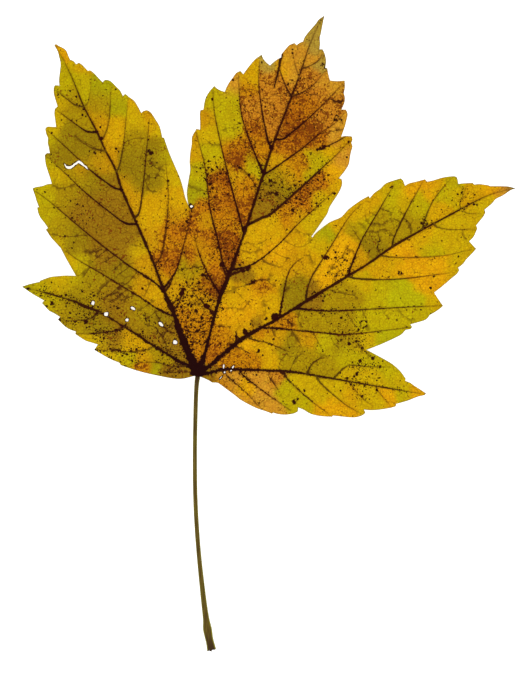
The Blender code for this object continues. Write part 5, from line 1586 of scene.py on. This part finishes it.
def stalk_bark():
    """Green stalk tissue dried to olive brown. Its bundles of fibres streak it along its length, its thin
    sides as seen from above are painted lighter and greener, painted light shining through them, and
    the dry skin is matt."""
    material, tree, shader = new_material("dried_leaf_stalk")
    place_mm = add_node(tree, "ShaderNodeMapping", {
        "Vector": add_node(tree, "ShaderNodeTexCoord", {}).outputs["Object"], "Scale": (1 / MM,) * 3,
    }).outputs["Vector"]
    drawn = add_node(tree, "ShaderNodeMapping", {
        "Vector": place_mm, "Scale": (1, STREAK_DRAW, 1),
    }).outputs["Vector"]
    streaks = add_node(tree, "ShaderNodeTexNoise", {
        "Vector": drawn, "Scale": 1 / STREAK_SIZE, "Detail": 3,
    }).outputs["Fac"]
    blotches = add_node(tree, "ShaderNodeTexNoise", {
        "Vector": place_mm, "Scale": 1 / BLOTCH_SIZE, "Detail": 3,
    }).outputs["Fac"]
    backlit_flank, ends = (
        add_node(tree, "ShaderNodeAttribute", {}, attribute_name=name).outputs["Fac"]
        for name in ("backlit_flank", "ends")
    )
    paint = linear("#544112", LEAF_SHADE)
    for factor, colour in (
        (add_node(tree, "ShaderNodeMapRange", {
            "Value": streaks, "From Min": 0.46, "From Max": 0.66, "To Max": 0.8,
        }).outputs["Result"], "#6E5E20"),
        (add_node(tree, "ShaderNodeMapRange", {
            "Value": blotches, "From Min": 0.5, "From Max": 0.66, "To Max": 0.5,
        }).outputs["Result"], "#665C12"),
        (add_node(tree, "ShaderNodeMapRange", {
            "Value": streaks, "From Min": 0.46, "From Max": 0.34, "To Max": 0.8,
        }).outputs["Result"], "#35260A"),
        (ends, "#3E2A12"),
        # Painted backlight: the stalk's sides seen from above, lighter and greener as if lit through
        (backlit_flank, "#8E8814"),
    ):
        paint = add_node(tree, "ShaderNodeMix", {
            "Factor": factor, FIRST: paint, SECOND: linear(colour, LEAF_SHADE),
        }, data_type="RGBA").outputs[MIXED]
    relief = add_node(tree, "ShaderNodeBump", {
        "Height": streaks, "Strength": 0.5, "Distance": 0.12 * MM,
    }).outputs["Normal"]
    tree.links.new(paint, shader.inputs["Base Color"])
    tree.links.new(relief, shader.inputs["Normal"])
    shader.inputs["Roughness"].default_value = 0.6
    shader.inputs["Specular IOR Level"].default_value = 0.08
    return material


def build_floor():
    """A wide, matt, pale floor, a sheet of opal glass that is lit a little from below."""
    bm = bmesh.new()
    bmesh.ops.create_grid(bm, x_segments=1, y_segments=1, size=FLOOR_HALF_SIZE)
    material, _, shader = new_material("opal_glass_sheet")
    shader.inputs["Base Color"].default_value = linear(FLOOR_COLOUR)
    shader.inputs["Roughness"].default_value = 0.9
    shader.inputs["Specular IOR Level"].default_value = 0.1
    shader.inputs["Emission Color"].default_value = (1, 1, 1, 1)
    shader.inputs["Emission Strength"].default_value = FLOOR_GLOW
    floor = make_object("floor", bm, [material])


def light_and_camera():
    """Even white light from all round with a soft lamp overhead, and the camera straight above."""
    world = bpy.data.worlds.new("soft_white_room")
    bpy.context.scene.world = world
    world.use_nodes = True
    world.node_tree.nodes["Background"].inputs["Color"].default_value = (1, 1, 1, 1)
    world.node_tree.nodes["Background"].inputs["Strength"].default_value = ROOM_LIGHT
    lamp = bpy.data.lights.new("softbox", "AREA")
    lamp.shape = "DISK"
    lamp.size = LAMP_SIZE
    lamp.energy = LAMP_POWER
    lamp_object = bpy.data.objects.new("softbox", lamp)
    lamp_object.location = LAMP_PLACE
    lamp_object.rotation_euler = (-lamp_object.location).to_track_quat("-Z", "Y").to_euler()
    bpy.context.scene.collection.objects.link(lamp_object)
    camera = bpy.data.cameras.new("camera")
    camera.lens = LENS
    camera.sensor_width = SENSOR
    camera.clip_start, camera.clip_end = 0.01, 20
    camera_object = bpy.data.objects.new("camera", camera)
    middle = from_photo(*PHOTO_CENTRE_PIXEL) * MM
    camera_object.location = (*middle, CAMERA_HEIGHT * MM)
    bpy.context.scene.collection.objects.link(camera_object)
    bpy.context.scene.camera = camera_object
    bpy.context.scene.view_settings.view_transform = "Standard"


# Blender's noise vectors start from the clock unless they are given a seed.
noise.seed_set(SEED)
upper_skin = leaf_skin("autumn_leaf_upper_skin", UPPER_SKIN)
lower_skin = leaf_skin("autumn_leaf_lower_skin", LOWER_SKIN)
for piece in (build_blade([upper_skin, lower_skin]), build_stalk(stalk_bark())):
    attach(piece, "root")
    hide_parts("leaf")
build_floor()
light_and_camera()
